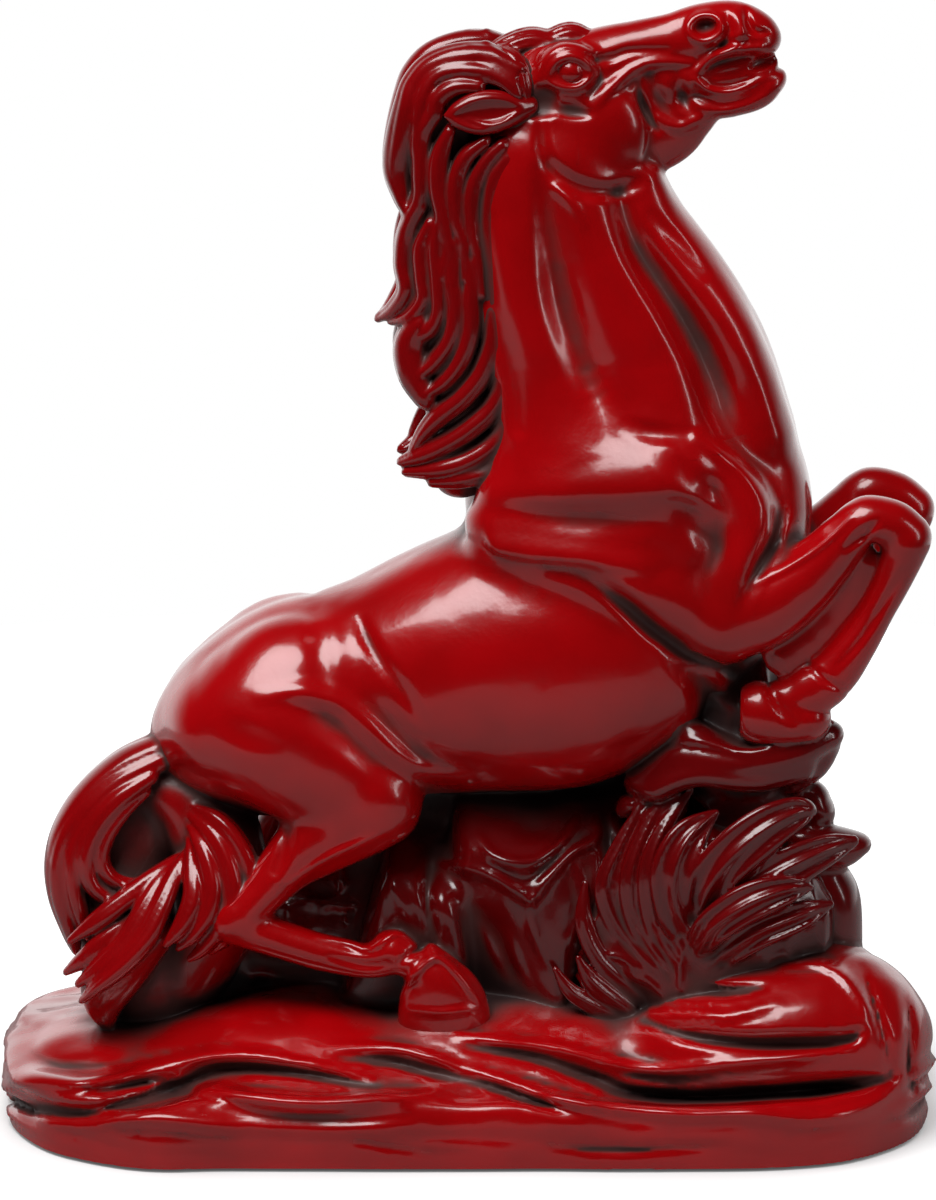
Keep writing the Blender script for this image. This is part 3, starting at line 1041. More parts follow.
def stump():
    clay = Clay()
    clay.add(limb([
        [48, 2, 16, 22, 19],
        [50, 2, 30, 17, 17],
        [50.5, 2, 44, 12.5, 15],
        [48.5, 1, 56, 12.5, 14],
        [46.5, 0, 66, 14, 14],
        [45, 0, 76, 12, 12],
    ], steps=7))
    knead(clay, *ROUGHENED, 8, 0.9, ridged=True)
    knead(clay, *ROUGHENED, 3.6, 0.35, ridged=True)
    # Shelf under the near hoof, and ridges that flow down from it
    for rows, blend in (
        ([[30, -10, 60, 2, 4], [38, -13, 64.4, 3, 5], [48, -14.6, 63.4, 3, 5.4],
          [56, -14.4, 64.6, 3.2, 5], [62.4, -12, 67.4, 2.8, 4]], 2.5),
        ([[36, -12, 70, 2, 3], [40, -14, 67.6, 2.4, 3.4], [45, -15, 65, 2, 3]], 1),
        ([[28, -10, 55, 2, 3], [33, -14, 58, 2.4, 3.6], [40, -16, 60.6, 2.2, 3.6],
          [50, -16.4, 59.4, 2, 3.4], [58, -14, 61.4, 2.2, 3.4]], 3),
        ([[60, -9, 70, 2, 3], [62.6, -10, 67, 2.4, 3.6], [61, -11, 62.6, 2.4, 3.6],
          [57, -11, 59, 1.8, 3]], 1),
        ([[59, -8, 57, 2.4, 4], [61, -8, 55, 2.6, 4.4], [60.6, -8, 51.8, 1.6, 3.6]], 0.8),
        ([[59, -9, 49, 3, 5], [63, -8.6, 47.6, 3.8, 5.6], [66.2, -7.6, 47.8, 2.4, 4.6]], 0.8),
        ([[62, -6, 43, 4, 6], [64, -6, 38, 4.6, 6.6], [64, -6, 31, 5, 7]], 1.5),
    ):
        clay.add(limb(seen(rows), steps=7), blend)
    clay.carve([[34, 66.6, 1.2, 0.3], [41, 66.4, 1.3, 0.8], [50, 64.6, 1.3, 0.9], [60, 68, 1.2, 0.6]])
    clay.carve([[27, 58, 2, -0.6], [32, 54, 2.4, -2], [38, 50, 2.2, -1.4]], sharp=True)
    return clay


def leaf(clay, rows, rib):
    """A broad pointed leaf, with a raised rib and rims and a channel on each side of the rib."""
    broad = [[x, y, w, LEAF_WIDTH * h, LEAF_THICKNESS * b] for x, y, w, h, b in rows]
    clay.add(limb(seen(broad), steps=9), 0.3)
    for side in (-1, 1):
        path = []
        for i, (x, _, w, h, _) in enumerate(rows):
            before = rows[max(i - 1, 0)]
            after = rows[min(i + 1, len(rows) - 1)]
            dx, dw = after[0] - before[0], after[2] - before[2]
            length = math.hypot(dx, dw)
            off = side * CHANNEL_OFF * h
            width = max(CHANNEL_WIDTH * h, LEAST_CHANNEL)
            path.append([x - off * dw / length, w + off * dx / length, width, -rib])
        path[0][3] = -CHANNEL_END
        path[-1][3] = -CHANNEL_END
        clay.carve(path)


def leaf_clump():
    clay = Clay()
    clay.add(ball([43, -12, 35], [21, 10, 19]), 0)
    clay.add(limb(seen([[24, -14, 20, 5, 5], [26, -14.6, 32, 6, 4], [30, -14, 46, 5, 4],
                        [36, -12, 56, 3, 4]]), steps=7), 2)
    knead(clay, *everywhere(), 5, 0.8, ridged=True)
    back = [
        [[34, -15, 24, 2, 2.2], [27, -17, 32, 1.7, 2.2], [24, -17.5, 40, 1.5, 2], [27, -16, 48, 1.3, 1.6],
         [31, -14, 56, 0.5, 0.8]],
        [[36, -16, 24, 2, 2.2], [30, -18, 33, 1.6, 2], [28.4, -18.4, 41, 1.5, 2],
         [30.6, -17, 49, 1.2, 1.6], [34.6, -15, 56.6, 0.5, 0.8]],
        [[38, -16, 24, 2, 2.4], [33, -19, 33, 1.7, 2], [31.8, -19.4, 42, 1.6, 2], [34, -18, 50, 1.2, 1.6],
         [39, -15, 57.6, 0.5, 0.8]],
        [[31, -16, 20, 1.6, 2], [23.4, -18, 27, 1.5, 2], [20.4, -18, 34, 1.3, 1.8],
         [20.6, -16.4, 41, 0.5, 0.8]],
        [[28, -17, 18, 1.6, 2], [22, -19, 23, 1.3, 1.8], [19.4, -19.4, 27.4, 0.5, 0.8]],
        [[26, -17, 17, 1.5, 2], [18.6, -19.4, 21, 1.2, 1.7], [15.4, -19.6, 25.4, 0.5, 0.8]],
    ]
    front = [
        [[40, -18, 30, 2.6, 2.4], [36.6, -22, 36, 3, 2.6], [36, -23, 42.6, 3.2, 2.6],
         [38.6, -21.6, 49, 2.6, 2.2], [43.4, -18.6, 53.6, 0.6, 0.9]],
        [[40, -18, 33, 2.4, 2.4], [42, -22, 39.6, 3.2, 2.6], [46, -23.4, 45.4, 3.5, 2.6],
         [52, -22.6, 50.6, 3.2, 2.2], [57.6, -20, 53.6, 2.2, 1.8], [60.2, -18, 53.8, 0.8, 1]],
        [[44, -18, 34, 2.4, 2.4], [49, -22, 39.4, 2.7, 2.4], [56, -22, 43.6, 3, 2.4],
         [62.6, -19, 46.8, 2.2, 2], [67.6, -15.6, 48.6, 0.8, 1]],
        [[40, -18, 28, 2.2, 2.4], [43, -24, 33, 2.6, 2.6], [49.6, -25, 37.4, 2.9, 2.6],
         [56, -23.6, 39.8, 1.9, 2], [60, -21.4, 40.2, 0.5, 0.8]],
        [[42, -18, 26, 2, 2.2], [50, -23.4, 31.6, 2.3, 2.4], [58, -22.4, 35, 2, 2],
         [63.4, -19, 37.2, 0.6, 0.9]],
    ]
    for rows in back:
        leaf(clay, rows, rib=0.4)
    for rows in front:
        leaf(clay, rows, rib=1.1)
    return clay


def bedding(d, p):
    """Beds that run all round, fainter in front, where they are carved one by one."""
    level = p[2] + BED_WAVE * noise(p * BED_STRETCH, BED_WAVE_LENGTH) + BED_DIP * p[0]
    ledge = 1 - 2 * np.abs((level / BED_HEIGHT) % 1 - 0.5) * 2
    back = np.clip((p[1] - BEDS_FADE_FROM) / BEDS_FADE_OVER, 0, 1)
    low = np.clip((BEDS_TOP - p[2]) / BEDS_TOP_FADE, 0, 1)
    low = low * np.clip((p[2] - BEDS_BOTTOM) / BEDS_BOTTOM_FADE, 0, 1)
    return d - (BEDS_IN_FRONT + (1 - BEDS_IN_FRONT) * back) * low * BED_EDGE * ledge


def plinth():
    clay = Clay()
    clay.add(slab(PLINTH_LENGTH, PLINTH_DEPTH, -6, TOP_LEVEL, PLINTH_FRONT_CORNER, PLINTH_BACK_CORNER,
                  PLINTH_EDGE_ROUND))
    clay.add(ball([-10, -2, 6], [64, 31, 17]), 6)
    clay.add(ball([-62, 2, 8], [17, 24, 9]), 6)
    clay.add(ball([9, -8, 7], [40, 25, 17.5]), 4)
    clay.add(ball([-30, -10, 5], [31, 24, 18.5]), 4)
    clay.add(ball([-4, -18, 12], [13, 11, 10.6]), 3)
    clay.add(limb([[36, -15, 15, 9, 13], [50, -17, 17.6, 13.6, 16], [63, -14, 18.4, 13.4, 18],
                   [66, -5, 15, 10, 17]], steps=8), 3)
    # Bedding, and hammered lumps
    low, high = everywhere()
    clay.steps.append((np.array(low), np.array(high), bedding))
    knead(clay, *everywhere(), 14, 0.7)
    knead(clay, (-FAR, -FAR, 3), (FAR, FAR, FAR), 5, 0.25)
    beds = [
        # The left end: a lip over a long hollow
        [[-81, 4.4, 2, 0.4], [-76, 6, 2.6, 1.3], [-68, 5.4, 2.6, 1.5], [-58, 7, 2.4, 1.3],
         [-48, 9.4, 2.2, 1.1], [-40, 10, 2.2, 1.1], [-30, 8.4, 2, 1.0], [-17, 5.4, 1.6, 0.3]],
        [[-81, 2.4, 1.8, -0.6], [-77, 1.2, 2.2, -1.6], [-69, -0.6, 2.4, -2.0], [-60, 0.6, 2.4, -2.0],
         [-51, 3.6, 2.4, -1.8], [-44, 7, 2.2, -1.7], [-36, 7.6, 2, -1.6], [-26, 6.4, 1.8, -1.3],
         [-16, 4.2, 1.4, -0.3]],
        [[-74, -2, 1.8, 0.3], [-64, -1.6, 2.2, 1.0], [-54, -1.4, 2.4, 1.0], [-47, -2.4, 2.2, 0.8],
         [-40, -3.6, 1.8, 0.2]],
        [[-50, 4.6, 1.8, 0.3], [-44, 4, 2, 1.0], [-36, 2.4, 2.2, 1.5], [-26, 1.4, 2.2, 1.5],
         [-15, 2.4, 2, 1.1], [-6, 3, 1.6, 0.3]],
        [[-46, 0.4, 1.6, -0.3], [-36, -1, 1.8, -0.8], [-24, -1.6, 1.8, -0.8], [-10, -1, 1.6, -0.3]],
        # The middle: two long ledges that run down to the right
        [[-24, 11.4, 1.2, 0.2], [-14, 11.4, 1.5, 0.9], [-6, 9.6, 1.5, 0.9], [-1, 7.6, 1.3, 0.3]],
        [[-22, 9.4, 1.2, -0.3], [-13, 8.6, 1.5, -1.1], [-6, 6.8, 1.4, -0.9], [0, 5.4, 1.2, -0.2]],
        [[-2, 13.6, 1.2, 0.3], [6, 12.6, 1.5, 0.9], [16, 11.4, 1.5, 1.0], [26, 8.6, 1.6, 1.1],
         [34, 7.4, 1.5, 0.9], [44, 8.2, 1.5, 0.9], [56, 9.4, 1.4, 0.8], [66, 10.8, 1.2, 0.3]],
        [[0, 11.4, 1.2, -0.2], [10, 9.8, 1.6, -1.1], [20, 6.6, 2, -1.6], [28, 3.4, 2.2, -1.8],
         [38, 2.2, 2.2, -1.9], [50, 2.8, 2.2, -1.8], [62, 4.2, 2.2, -1.7], [74, 6, 1.6, -0.5]],
        [[0, 7.6, 1.2, 0.3], [8, 5, 1.6, 0.9], [18, 2, 1.7, 1.1], [28, 0.2, 1.7, 1.1],
         [38, -0.6, 1.7, 1.0], [50, -0.6, 1.7, 1.0], [60, -1.8, 1.6, 0.9], [70, 0.6, 1.6, 0.6],
         [74, 3.4, 1.2, 0.2]],
        [[0, 5.4, 1, -0.2], [6, 3.6, 1.3, -0.8], [14, 0.6, 1.3, -0.7], [20, -1, 1, -0.2]],
        # Cracks in the boulder
        [[31, 16, 1.4, -0.4], [38, 13.6, 1.8, -1.4], [48, 12.2, 2.2, -2.6], [58, 12.2, 2.2, -2.8],
         [66, 12.8, 1.8, -1.8], [69, 14.4, 1.2, -0.3]],
        [[33, 20.2, 1.2, -0.3], [38, 21.6, 1.6, -1.3], [46, 21.4, 1.6, -1.3], [52, 22.2, 1.2, -0.3]],
        [[32, 18, 1, 0.2], [38, 17.4, 1.4, 0.7], [46, 17.2, 1.4, 0.7], [54, 19.4, 1.2, 0.2]],
        [[55, 26, 1.4, 0.2], [61, 26.6, 1.6, 0.7], [66, 24, 1.6, 0.6], [70, 18, 1.4, 0.3]],
    ]
    sharp_cracks = [
        [[69, 26, 1.2, -0.2], [71, 19, 1.4, -0.9], [73, 12, 1.4, -0.9], [74, 7, 1.2, -0.3]],
        [[76, 22, 1, -0.2], [77.4, 15, 1.2, -0.9], [77, 8, 1.3, -0.9], [78, 2, 1, -0.2]],
        [[14, -6.4, 1, -0.2], [24, -7, 1.3, -0.7], [36, -6.6, 1.2, -0.6], [48, -6, 1, -0.2]],
        [[-20, -5.4, 1, -0.2], [-13, -6.6, 1.3, -0.6], [-6, -7.4, 1, -0.2]],
    ]
    for paths, sharp in ((beds, False), (sharp_cracks, True)):
        for path in paths:
            raised = [[x, w, width, RELIEF * height] for x, w, width, height in path]
            clay.carve(raised, sharp=sharp)
    return clay


mane_clay = mane()
forelock_clay = forelock()
ear_clay = {side: ear(side) for side in (-1, 1)}
tail_clay = tail()
rock_clay = belly_rock()
stump_clay = stump()
leaf_clay = leaf_clump()
plinth_clay = plinth()


# Skins. A casting's surface is found on a grid, as one quad for each grid edge that it crosses.

STRIDE = 4
GRID_BAND = 1.7
GRID_SLACK = 1.15
CUBE_DIAGONAL = 1.732
GRID_BATCH = 400000
BARELY = 1e-3
TINY = 1e-6
NEAR = 1.6
CAP_DEPTH = 0.6
LEAST_SLOPE = 0.3
LONGEST_MOVE = 0.35
HOLLOW_CELL = 0.65
HOLLOW_PASSES = 5
FACE_CORNERS = ((0, 0), (0, 1), (1, 0), (1, 1))


def blur(values, passes):
    for _ in range(passes):
        for axis in range(3):
            moved = np.moveaxis(values, axis, 0)
            inner = 0.25 * (moved[:-2] + 2 * moved[1:-1] + moved[2:])
            moved = np.concatenate([moved[:1], inner, moved[-1:]])
            values = np.moveaxis(moved, 0, axis)
    return np.ascontiguousarray(values)


def sample(grid, at):
    """The grid's values at points given in cells, shape (n, 3)."""
    base = np.clip(np.floor(at).astype(int), 0, np.array(grid.shape) - 2)
    f = np.clip(at - base, 0, 1).astype(np.float32).T
    total = 0
    for corner in CORNERS:
        total = total + corner_weight(f, corner) * grid[tuple((base + corner).T)]
    return total


def fill(field, region, low, size, cell):
    """The field and its region on grids: exact near the surface, and coarse elsewhere."""
    blocks = -(-size // STRIDE)
    index = np.indices(blocks).reshape(3, -1)
    centre = low[:, None] + cell * (STRIDE * index + (STRIDE - 1) / 2)
    centre = pictured(centre.astype(np.float32))
    margin = 0.5 * STRIDE * cell * CUBE_DIAGONAL * GRID_SLACK + GRID_BAND
    active = np.ones(index.shape[1], bool)
    grids = []
    for function, near in ((field, lambda v: np.abs(v) < margin), (region, lambda v: v < margin)):
        rough = function(centre)
        grid = rough.reshape(blocks)
        for axis in range(3):
            grid = np.repeat(grid, STRIDE, axis=axis)
        grids.append(np.ascontiguousarray(grid, np.float32))
        active &= near(rough)
    inside = np.indices((STRIDE, STRIDE, STRIDE)).reshape(3, -1)
    fine = (STRIDE * index[:, active][:, :, None] + inside[:, None, :]).reshape(3, -1)
    for start in range(0, fine.shape[1], GRID_BATCH):
        part = fine[:, start:start + GRID_BATCH]
        points = pictured((low[:, None] + cell * part).astype(np.float32))
        for grid, function in zip(grids, (field, region)):
            grid[part[0], part[1], part[2]] = function(points)
    return grids


def close(d):
    """Keeps the surface off the outer faces of the grid."""
    for axis in range(3):
        moved = np.moveaxis(d, axis, 0)
        moved[0] = np.maximum(moved[0], BARELY)
        moved[-1] = np.maximum(moved[-1], BARELY)


def untangle(d):
    """No cell face keeps two diagonal corners inside alone, which would join two skins along an edge."""
    for _ in range(4):
        found = 0
        for u, v in ((0, 1), (0, 2), (1, 2)):
            inside = []
            for a, b in FACE_CORNERS:
                cut = [slice(None)] * 3
                cut[u] = slice(a, d.shape[u] - 1 + a)
                cut[v] = slice(b, d.shape[v] - 1 + b)
                inside.append(d[tuple(cut)] < 0)
            bad = (inside[0] == inside[3]) & (inside[1] == inside[2]) & (inside[0] != inside[1])
            places = np.argwhere(bad)
            found += len(places)
            for place in places:
                corners = []
                for a, b in FACE_CORNERS:
                    at = place.copy()
                    at[u] += a
                    at[v] += b
                    corners.append(tuple(at))
                weakest = min(corners, key=lambda at: abs(d[at]))
                d[weakest] = BARELY if d[weakest] < 0 else -BARELY
        if not found:
            return


def cell_points(d):
    """The mean crossing in each cell that the surface crosses, and a grid of the points' numbers."""
    inside = d < 0
    views = [tuple(slice(n, size - 1 + n) for n, size in zip(corner, d.shape)) for corner in CORNERS]
    count = np.zeros(np.array(d.shape) - 1, np.uint8)
    for view in views:
        count += inside[view]
    active = (count > 0) & (count < 8)
    cells = np.argwhere(active)
    number = np.full(active.shape, -1, np.int32)
    number[active] = np.arange(len(cells), dtype=np.int32)
    value = np.stack([d[view][active] for view in views], 1)
    corner = np.array(CORNERS, np.float32)
    total = np.zeros((len(cells), 3), np.float32)
    crossings = np.zeros(len(cells), np.float32)
    for a in range(8):
        for bit in (1, 2, 4):
            b = a | bit
            if b == a:
                continue
            cross = (value[:, a] < 0) != (value[:, b] < 0)
            t = np.where(cross, value[:, a] / np.where(cross, value[:, a] - value[:, b], 1), 0)
            total += np.where(cross[:, None], corner[a] + (corner[b] - corner[a]) * t[:, None], 0)
            crossings += cross
    return cells + total / crossings[:, None], number


def edge_quads(inside, number):
    """The four points around each grid edge that the surface crosses, in the order that faces outwards."""
    quads = []
    for axis in range(3):
        one = [slice(None)] * 3
        two = [slice(None)] * 3
        one[axis] = slice(0, inside.shape[axis] - 1)
        two[axis] = slice(1, inside.shape[axis])
        first = inside[tuple(one)]
        edges = np.argwhere(first != inside[tuple(two)])
        u, v = (axis + 1) % 3, (axis + 2) % 3
        edges = edges[(edges[:, u] > 0) & (edges[:, v] > 0)]
        edges = edges[(edges[:, u] < number.shape[u]) & (edges[:, v] < number.shape[v])]
        du = np.eye(3, dtype=int)[u]
        dv = np.eye(3, dtype=int)[v]
        around = [edges, edges - du, edges - du - dv, edges - dv]
        quad = np.stack([number[cell[:, 0], cell[:, 1], cell[:, 2]] for cell in around], 1)
        outward = first[edges[:, 0], edges[:, 1], edges[:, 2]]
        quad[~outward] = quad[~outward][:, ::-1]
        quads.append(quad)
    return np.concatenate(quads)


def slopes_of(grid):
    return [np.gradient(grid, axis=axis) for axis in range(3)]


def gradient_at(slopes, at):
    return np.stack([sample(slope, at) for slope in slopes], 1)


def skin(field, region, low, high, cell):
    """Points, quads, normals and hollowness of the field's surface inside its region."""
    cell = cell * COARSE
    low = np.floor(np.array(low, float) / cell) * cell
    size = np.ceil((np.array(high) - low) / cell).astype(int) + 1
    form, limit = fill(field, region, low, size, cell)
    d = np.maximum(form, limit)
    close(d)
    untangle(d)
    at, number = cell_points(d)
    quads = edge_quads(d < 0, number)
    near = np.clip(form, -NEAR, NEAR)
    slopes = slopes_of(near)
    # Points on the flat joint faces stay, and all others move onto the exact surface
    flat = (sample(limit, at) > -CAP_DEPTH * cell) & (sample(near, at) < -CAP_DEPTH * cell)
    for _ in range(2):
        gradient = gradient_at(slopes, at)
        square = np.maximum((gradient**2).sum(1), (LEAST_SLOPE * cell) ** 2)
        move = -(sample(near, at) / square)[:, None] * gradient
        length = np.linalg.norm(move, axis=1, keepdims=True)
        move = move * np.minimum(1, LONGEST_MOVE / np.maximum(length, TINY))
        at = at + np.where(flat[:, None], 0, move)
    joint_slopes = slopes_of(np.clip(limit, -NEAR, NEAR))
    gradient = np.where(flat[:, None], gradient_at(joint_slopes, at), gradient_at(slopes, at))
    normals = gradient / np.maximum(np.linalg.norm(gradient, axis=1, keepdims=True), TINY)
    passes = max(2, round(HOLLOW_PASSES * (HOLLOW_CELL / cell) ** 2))
    hollow = -sample(blur(near, passes), at)
    return low + at * cell, quads, normals, hollow


# Recesses, from how much of the room around a point is solid, on a coarse blurred grid

ROOM_CELL = 2.5
ROOM_LOW = np.array([-90.0, -50.0, -10.0])
ROOM_SIZE = (74, 42, 90)
ROOM_BLUR = 6


def whole(p):
    d = flesh.distance(p)
    for clay in (mane_clay, forelock_clay, ear_clay[-1], ear_clay[1], tail_clay, rock_clay, stump_clay,
                 leaf_clay, plinth_clay):
        d = np.minimum(d, clay.distance(p))
    return d


def solid_room():
    index = np.indices(ROOM_SIZE).reshape(3, -1)
    points = (ROOM_LOW[:, None] + ROOM_CELL * index).astype(np.float32)
    share = np.clip(0.5 - whole(pictured(points)) / ROOM_CELL, 0, 1)
    return blur(share.reshape(ROOM_SIZE), ROOM_BLUR)


room = solid_room()


# Castings. The body is cut into its castings by planes, each a point and a normal.

THROAT = ((18, 0, 174), (0.31, 0, 0.95))
NECK_CUT = ((24, 0, 121), (-0.12, 0, 1))
ELBOW = ((49, 0, 94), (-0.85, 0, -0.5))
STIFLE = ((-24, 0, 56), (0.1, 0, 1))
LEG_ROOM = 3
OVERLAP = 0.7
FILLET = 0.8
FILLET_LIFT = 0.15
FILLET_BAND = 3
SKIRT = 0.4


def beyond(cut):
    """Signed distance to a plane, above zero on the side that its normal points to."""
    (x, y, z), normal = cut
    nx, ny, nz = np.array(normal) / np.linalg.norm(normal)
    return lambda p: (p[0] - x) * nx + (p[1] - y) * ny + (p[2] - z) * nz


above_throat = beyond(THROAT)
above_neck = beyond(NECK_CUT)
behind_elbow = beyond(ELBOW)
above_stifle = beyond(STIFLE)


def leg_region(leg, plane):
    return lambda p: np.maximum(plane(p), leg.distance(p) - LEG_ROOM)


leg_regions = {
    "near_foreleg": leg_region(near_foreleg, behind_elbow),
    "far_foreleg": leg_region(far_foreleg, behind_elbow),
    "near_hind_leg": leg_region(near_hind_leg, above_stifle),
    "far_hind_leg": leg_region(far_hind_leg, above_stifle),
}


def flesh_piece(region):
    """A part of the body, which runs a little past its joints so that no gap shows there."""
    return flesh.distance, lambda p: region(p) - OVERLAP


def leg_piece(name):
    return flesh_piece(leg_regions[name])


def torso_region(p):
    d = above_neck(p)
    for region in leg_regions.values():
        d = np.maximum(d, -region(p))
    return d


def applied(clay, others):
    """A casting that flows into the ones that it lies against."""

    def field(p):
        own = clay.distance(p)
        near = np.flatnonzero(np.abs(own) < FILLET + FILLET_BAND)
        rest = np.full_like(own, FAR)
        q = p[:, near]
        for other in others:
            rest[near] = np.minimum(rest[near], other.distance(q))
        return smooth_min(own, rest + FILLET_LIFT, FILLET)

    return field, lambda p: clay.distance(p) - FILLET - SKIRT


head = flesh_piece(lambda p: -above_throat(p))
neck = flesh_piece(lambda p: np.maximum(above_throat(p), -above_neck(p)))
torso = flesh_piece(torso_region)
ground = (plinth_clay.distance, lambda p: PLINTH_UNDERSIDE - unpictured(p)[2])

# Each casting's form, the box that it lies in and its cell
pieces = {
    "head": (head, (-14, -13, 158), (62, 13, 204), 0.4),
    "neck": (neck, (-8, -28, 104), (68, 28, 190), 0.6),
    "torso": (torso, (-68, -34, 36), (72, 34, 134), 0.8),
    "near_foreleg": (leg_piece("near_foreleg"), (36, -28, 60), (90, -4, 122), 0.45),
    "far_foreleg": (leg_piece("far_foreleg"), (36, 4, 58), (90, 28, 120), 0.55),
    "near_hind_leg": (leg_piece("near_hind_leg"), (-58, -34, 10), (14, -4, 62), 0.45),
    "far_hind_leg": (leg_piece("far_hind_leg"), (-58, 4, 10), (14, 34, 62), 0.55),
    "near_ear": (applied(ear_clay[-1], [flesh]), (-9, -18, 170), (17, 0, 194), 0.35),
    "far_ear": (applied(ear_clay[1], [flesh]), (-9, 0, 170), (17, 18, 194), 0.4),
    "forelock": (applied(forelock_clay, [flesh]), (-4, -10, 182), (26, 10, 204), 0.4),
    "mane": (applied(mane_clay, [flesh]), (-24, -18, 100), (18, 18, 204), 0.42),
    "tail": (applied(tail_clay, [flesh, plinth_clay]), (-86, -34, 6), (-30, 26, 80), 0.45),
    "leaf_clump": (applied(leaf_clay, [plinth_clay, stump_clay]), (14, -38, 10), (76, 4, 70), 0.45),
    "support_stump": (applied(stump_clay, [plinth_clay, flesh]), (18, -28, 10), (84, 30, 92), 0.65),
    "belly_rock": (applied(rock_clay, [plinth_clay, flesh]), (-52, -34, 8), (54, 34, 80), 0.7),
    "base_plinth": (ground, (-88, -46, -6), (88, 46, 44), 0.8),
}


# Materials

MIX_A = 6
MIX_B = 7
MIX_RESULT = 2

DEEP_RED = (0.42, 0.0006, 0.002, 1)
BRIGHT_RED = (0.55, 0.0006, 0.003, 1)
SOOTED_RED = (0.1, 0.001, 0.002, 1)
BROWN_GRIME = (0.1, 0.03, 0.026, 1)
DARK_GRIME = (0.022, 0.005, 0.005, 1)
DARK_FELT = (0.008, 0.022, 0.012, 1)
GREEN_FELT = (0.022, 0.06, 0.03, 1)
WHITE = (1, 1, 1, 1)
TABLE_GREY = (0.62, 0.62, 0.62, 1)
MIRRORED_GREY = (0.2, 0.2, 0.2, 1)

COAT = 0.7
COAT_ROUGHNESS = 0.11
PLAIN_ROUGHNESS = 0.2
POLISHED_ROUGHNESS = 0.22
DULLER_BY = 0.36
LESS_COAT_BY = 0.6
PATINA_IN_HOLLOWS = 2.6
PATINA_IN_RECESSES = 4.5
OPEN_SHARE = 0.46
FULL_PATINA = 1.1
WEAR = 0.6
WEAR_SCALE = 220
RED_SCALE = 40
RED_RANGE = (0.35, 0.65)
GRIME_RANGE = (0.56, 0.74)
GRAIN_SCALE = 900
GRAIN_STRENGTH = 0.12
NAP_SCALE = 1500
NAP_STRENGTH = 0.5
BUMP_HEIGHT = 0.0003
FELT_ROUGHNESS = 0.95

# How much more patina the rough castings keep than the smooth ones
PATINA = {
    "neck": -0.2,
    "mane": 0.45,
    "tail": 0.3,
    "forelock": 0.4,
    "near_ear": 0.2,
    "far_ear": 0.2,
    "support_stump": 0.1,
    "base_plinth": 0.2,
}

# How dark the red itself is on them
SOOT = {
    "mane": 0.5,
    "tail": 0.35,
    "forelock": 0.4,
    "near_ear": 0.4,
    "far_ear": 0.4,
    "leaf_clump": 0.8,
    "support_stump": 0.7,
    "belly_rock": 0.85,
}


class Graph:
    """The nodes of a material or of the world, with short ways to add to them."""

    def __init__(self, owner, last):
        owner.use_nodes = True
        self.owner = owner
        self.nodes = owner.node_tree.nodes
        self.last = self.nodes[last]

    def feed(self, node, inputs):
        """Sets a node's inputs, each by its name or place, to a value or to another node's output."""
        for key, value in inputs.items():
            if isinstance(value, bpy.types.NodeSocket):
                self.owner.node_tree.links.new(value, node.inputs[key])
            else:
                node.inputs[key].default_value = value

    def add(self, kind, inputs, **settings):
        node = self.nodes.new("ShaderNode" + kind)
        for key, value in settings.items():
            setattr(node, key, value)
        self.feed(node, inputs)
        return node

    def math(self, operation, a, b):
        return self.add("Math", {0: a, 1: b}, operation=operation).outputs[0]

    def mix(self, factor, a, b):
        inputs = {"Factor": factor, MIX_A: a, MIX_B: b}
        return self.add("Mix", inputs, data_type="RGBA").outputs[MIX_RESULT]

    def cloud(self, scale, detail, **place):
        return self.add("TexNoise", {"Scale": scale, "Detail": detail, **place}).outputs["Fac"]

    def spread(self, value, low, high):
        """From 0 at `low` to 1 at `high`, with soft ends."""
        inputs = {"Value": value, "From Min": low, "From Max": high}
        return self.add("MapRange", inputs, interpolation_type="SMOOTHSTEP").outputs["Result"]

    def attribute(self, name):
        return self.add("Attribute", {}, attribute_name=name).outputs["Fac"]

    def bump(self, strength, distance, height):
        inputs = {"Strength": strength, "Distance": distance, "Height": height}
        return self.add("Bump", inputs).outputs["Normal"]


def new_material(name):
    return Graph(bpy.data.materials.new(name), "Principled BSDF")


def lacquer():
    """Red lacquer under a clear coat, duller and brown-grey where patina has stayed in the recesses."""
    paint = new_material("red_lacquer")
    place = paint.add("TexCoord", {}).outputs["Object"]
    wear = paint.math("SUBTRACT", paint.cloud(WEAR_SCALE, 4, Vector=place), 0.5)
    worn = paint.math("MULTIPLY", wear, WEAR)
    patina = paint.spread(paint.math("ADD", paint.attribute("patina"), worn), 0, FULL_PATINA)
    red = paint.mix(paint.spread(paint.cloud(RED_SCALE, 3, Vector=place), *RED_RANGE), DEEP_RED, BRIGHT_RED)
    sooted = paint.mix(paint.attribute("soot"), red, SOOTED_RED)
    grime = paint.mix(paint.spread(paint.attribute("recess"), *GRIME_RANGE), BROWN_GRIME, DARK_GRIME)
    # Plain values, for where the nodes that vary them aren't read
    paint.feed(paint.last, {
        "Roughness": PLAIN_ROUGHNESS,
        "Coat Weight": COAT,
        "Coat Roughness": COAT_ROUGHNESS,
    })
    paint.feed(paint.last, {
        "Base Color": paint.mix(patina, sooted, grime),
        "Roughness": paint.math("ADD", paint.math("MULTIPLY", patina, DULLER_BY), POLISHED_ROUGHNESS),
        "Coat Weight": paint.math("SUBTRACT", COAT, paint.math("MULTIPLY", patina, LESS_COAT_BY)),
        "Normal": paint.bump(GRAIN_STRENGTH, BUMP_HEIGHT, paint.cloud(GRAIN_SCALE, 2, Vector=place)),
    })
    return paint.owner


def felt():
    paint = new_material("green_felt")
    nap = paint.cloud(NAP_SCALE, 6)
    paint.feed(paint.last, {
        "Base Color": paint.mix(nap, DARK_FELT, GREEN_FELT),
        "Roughness": FELT_ROUGHNESS,
        "Normal": paint.bump(NAP_STRENGTH, BUMP_HEIGHT, nap),
    })
    return paint.owner


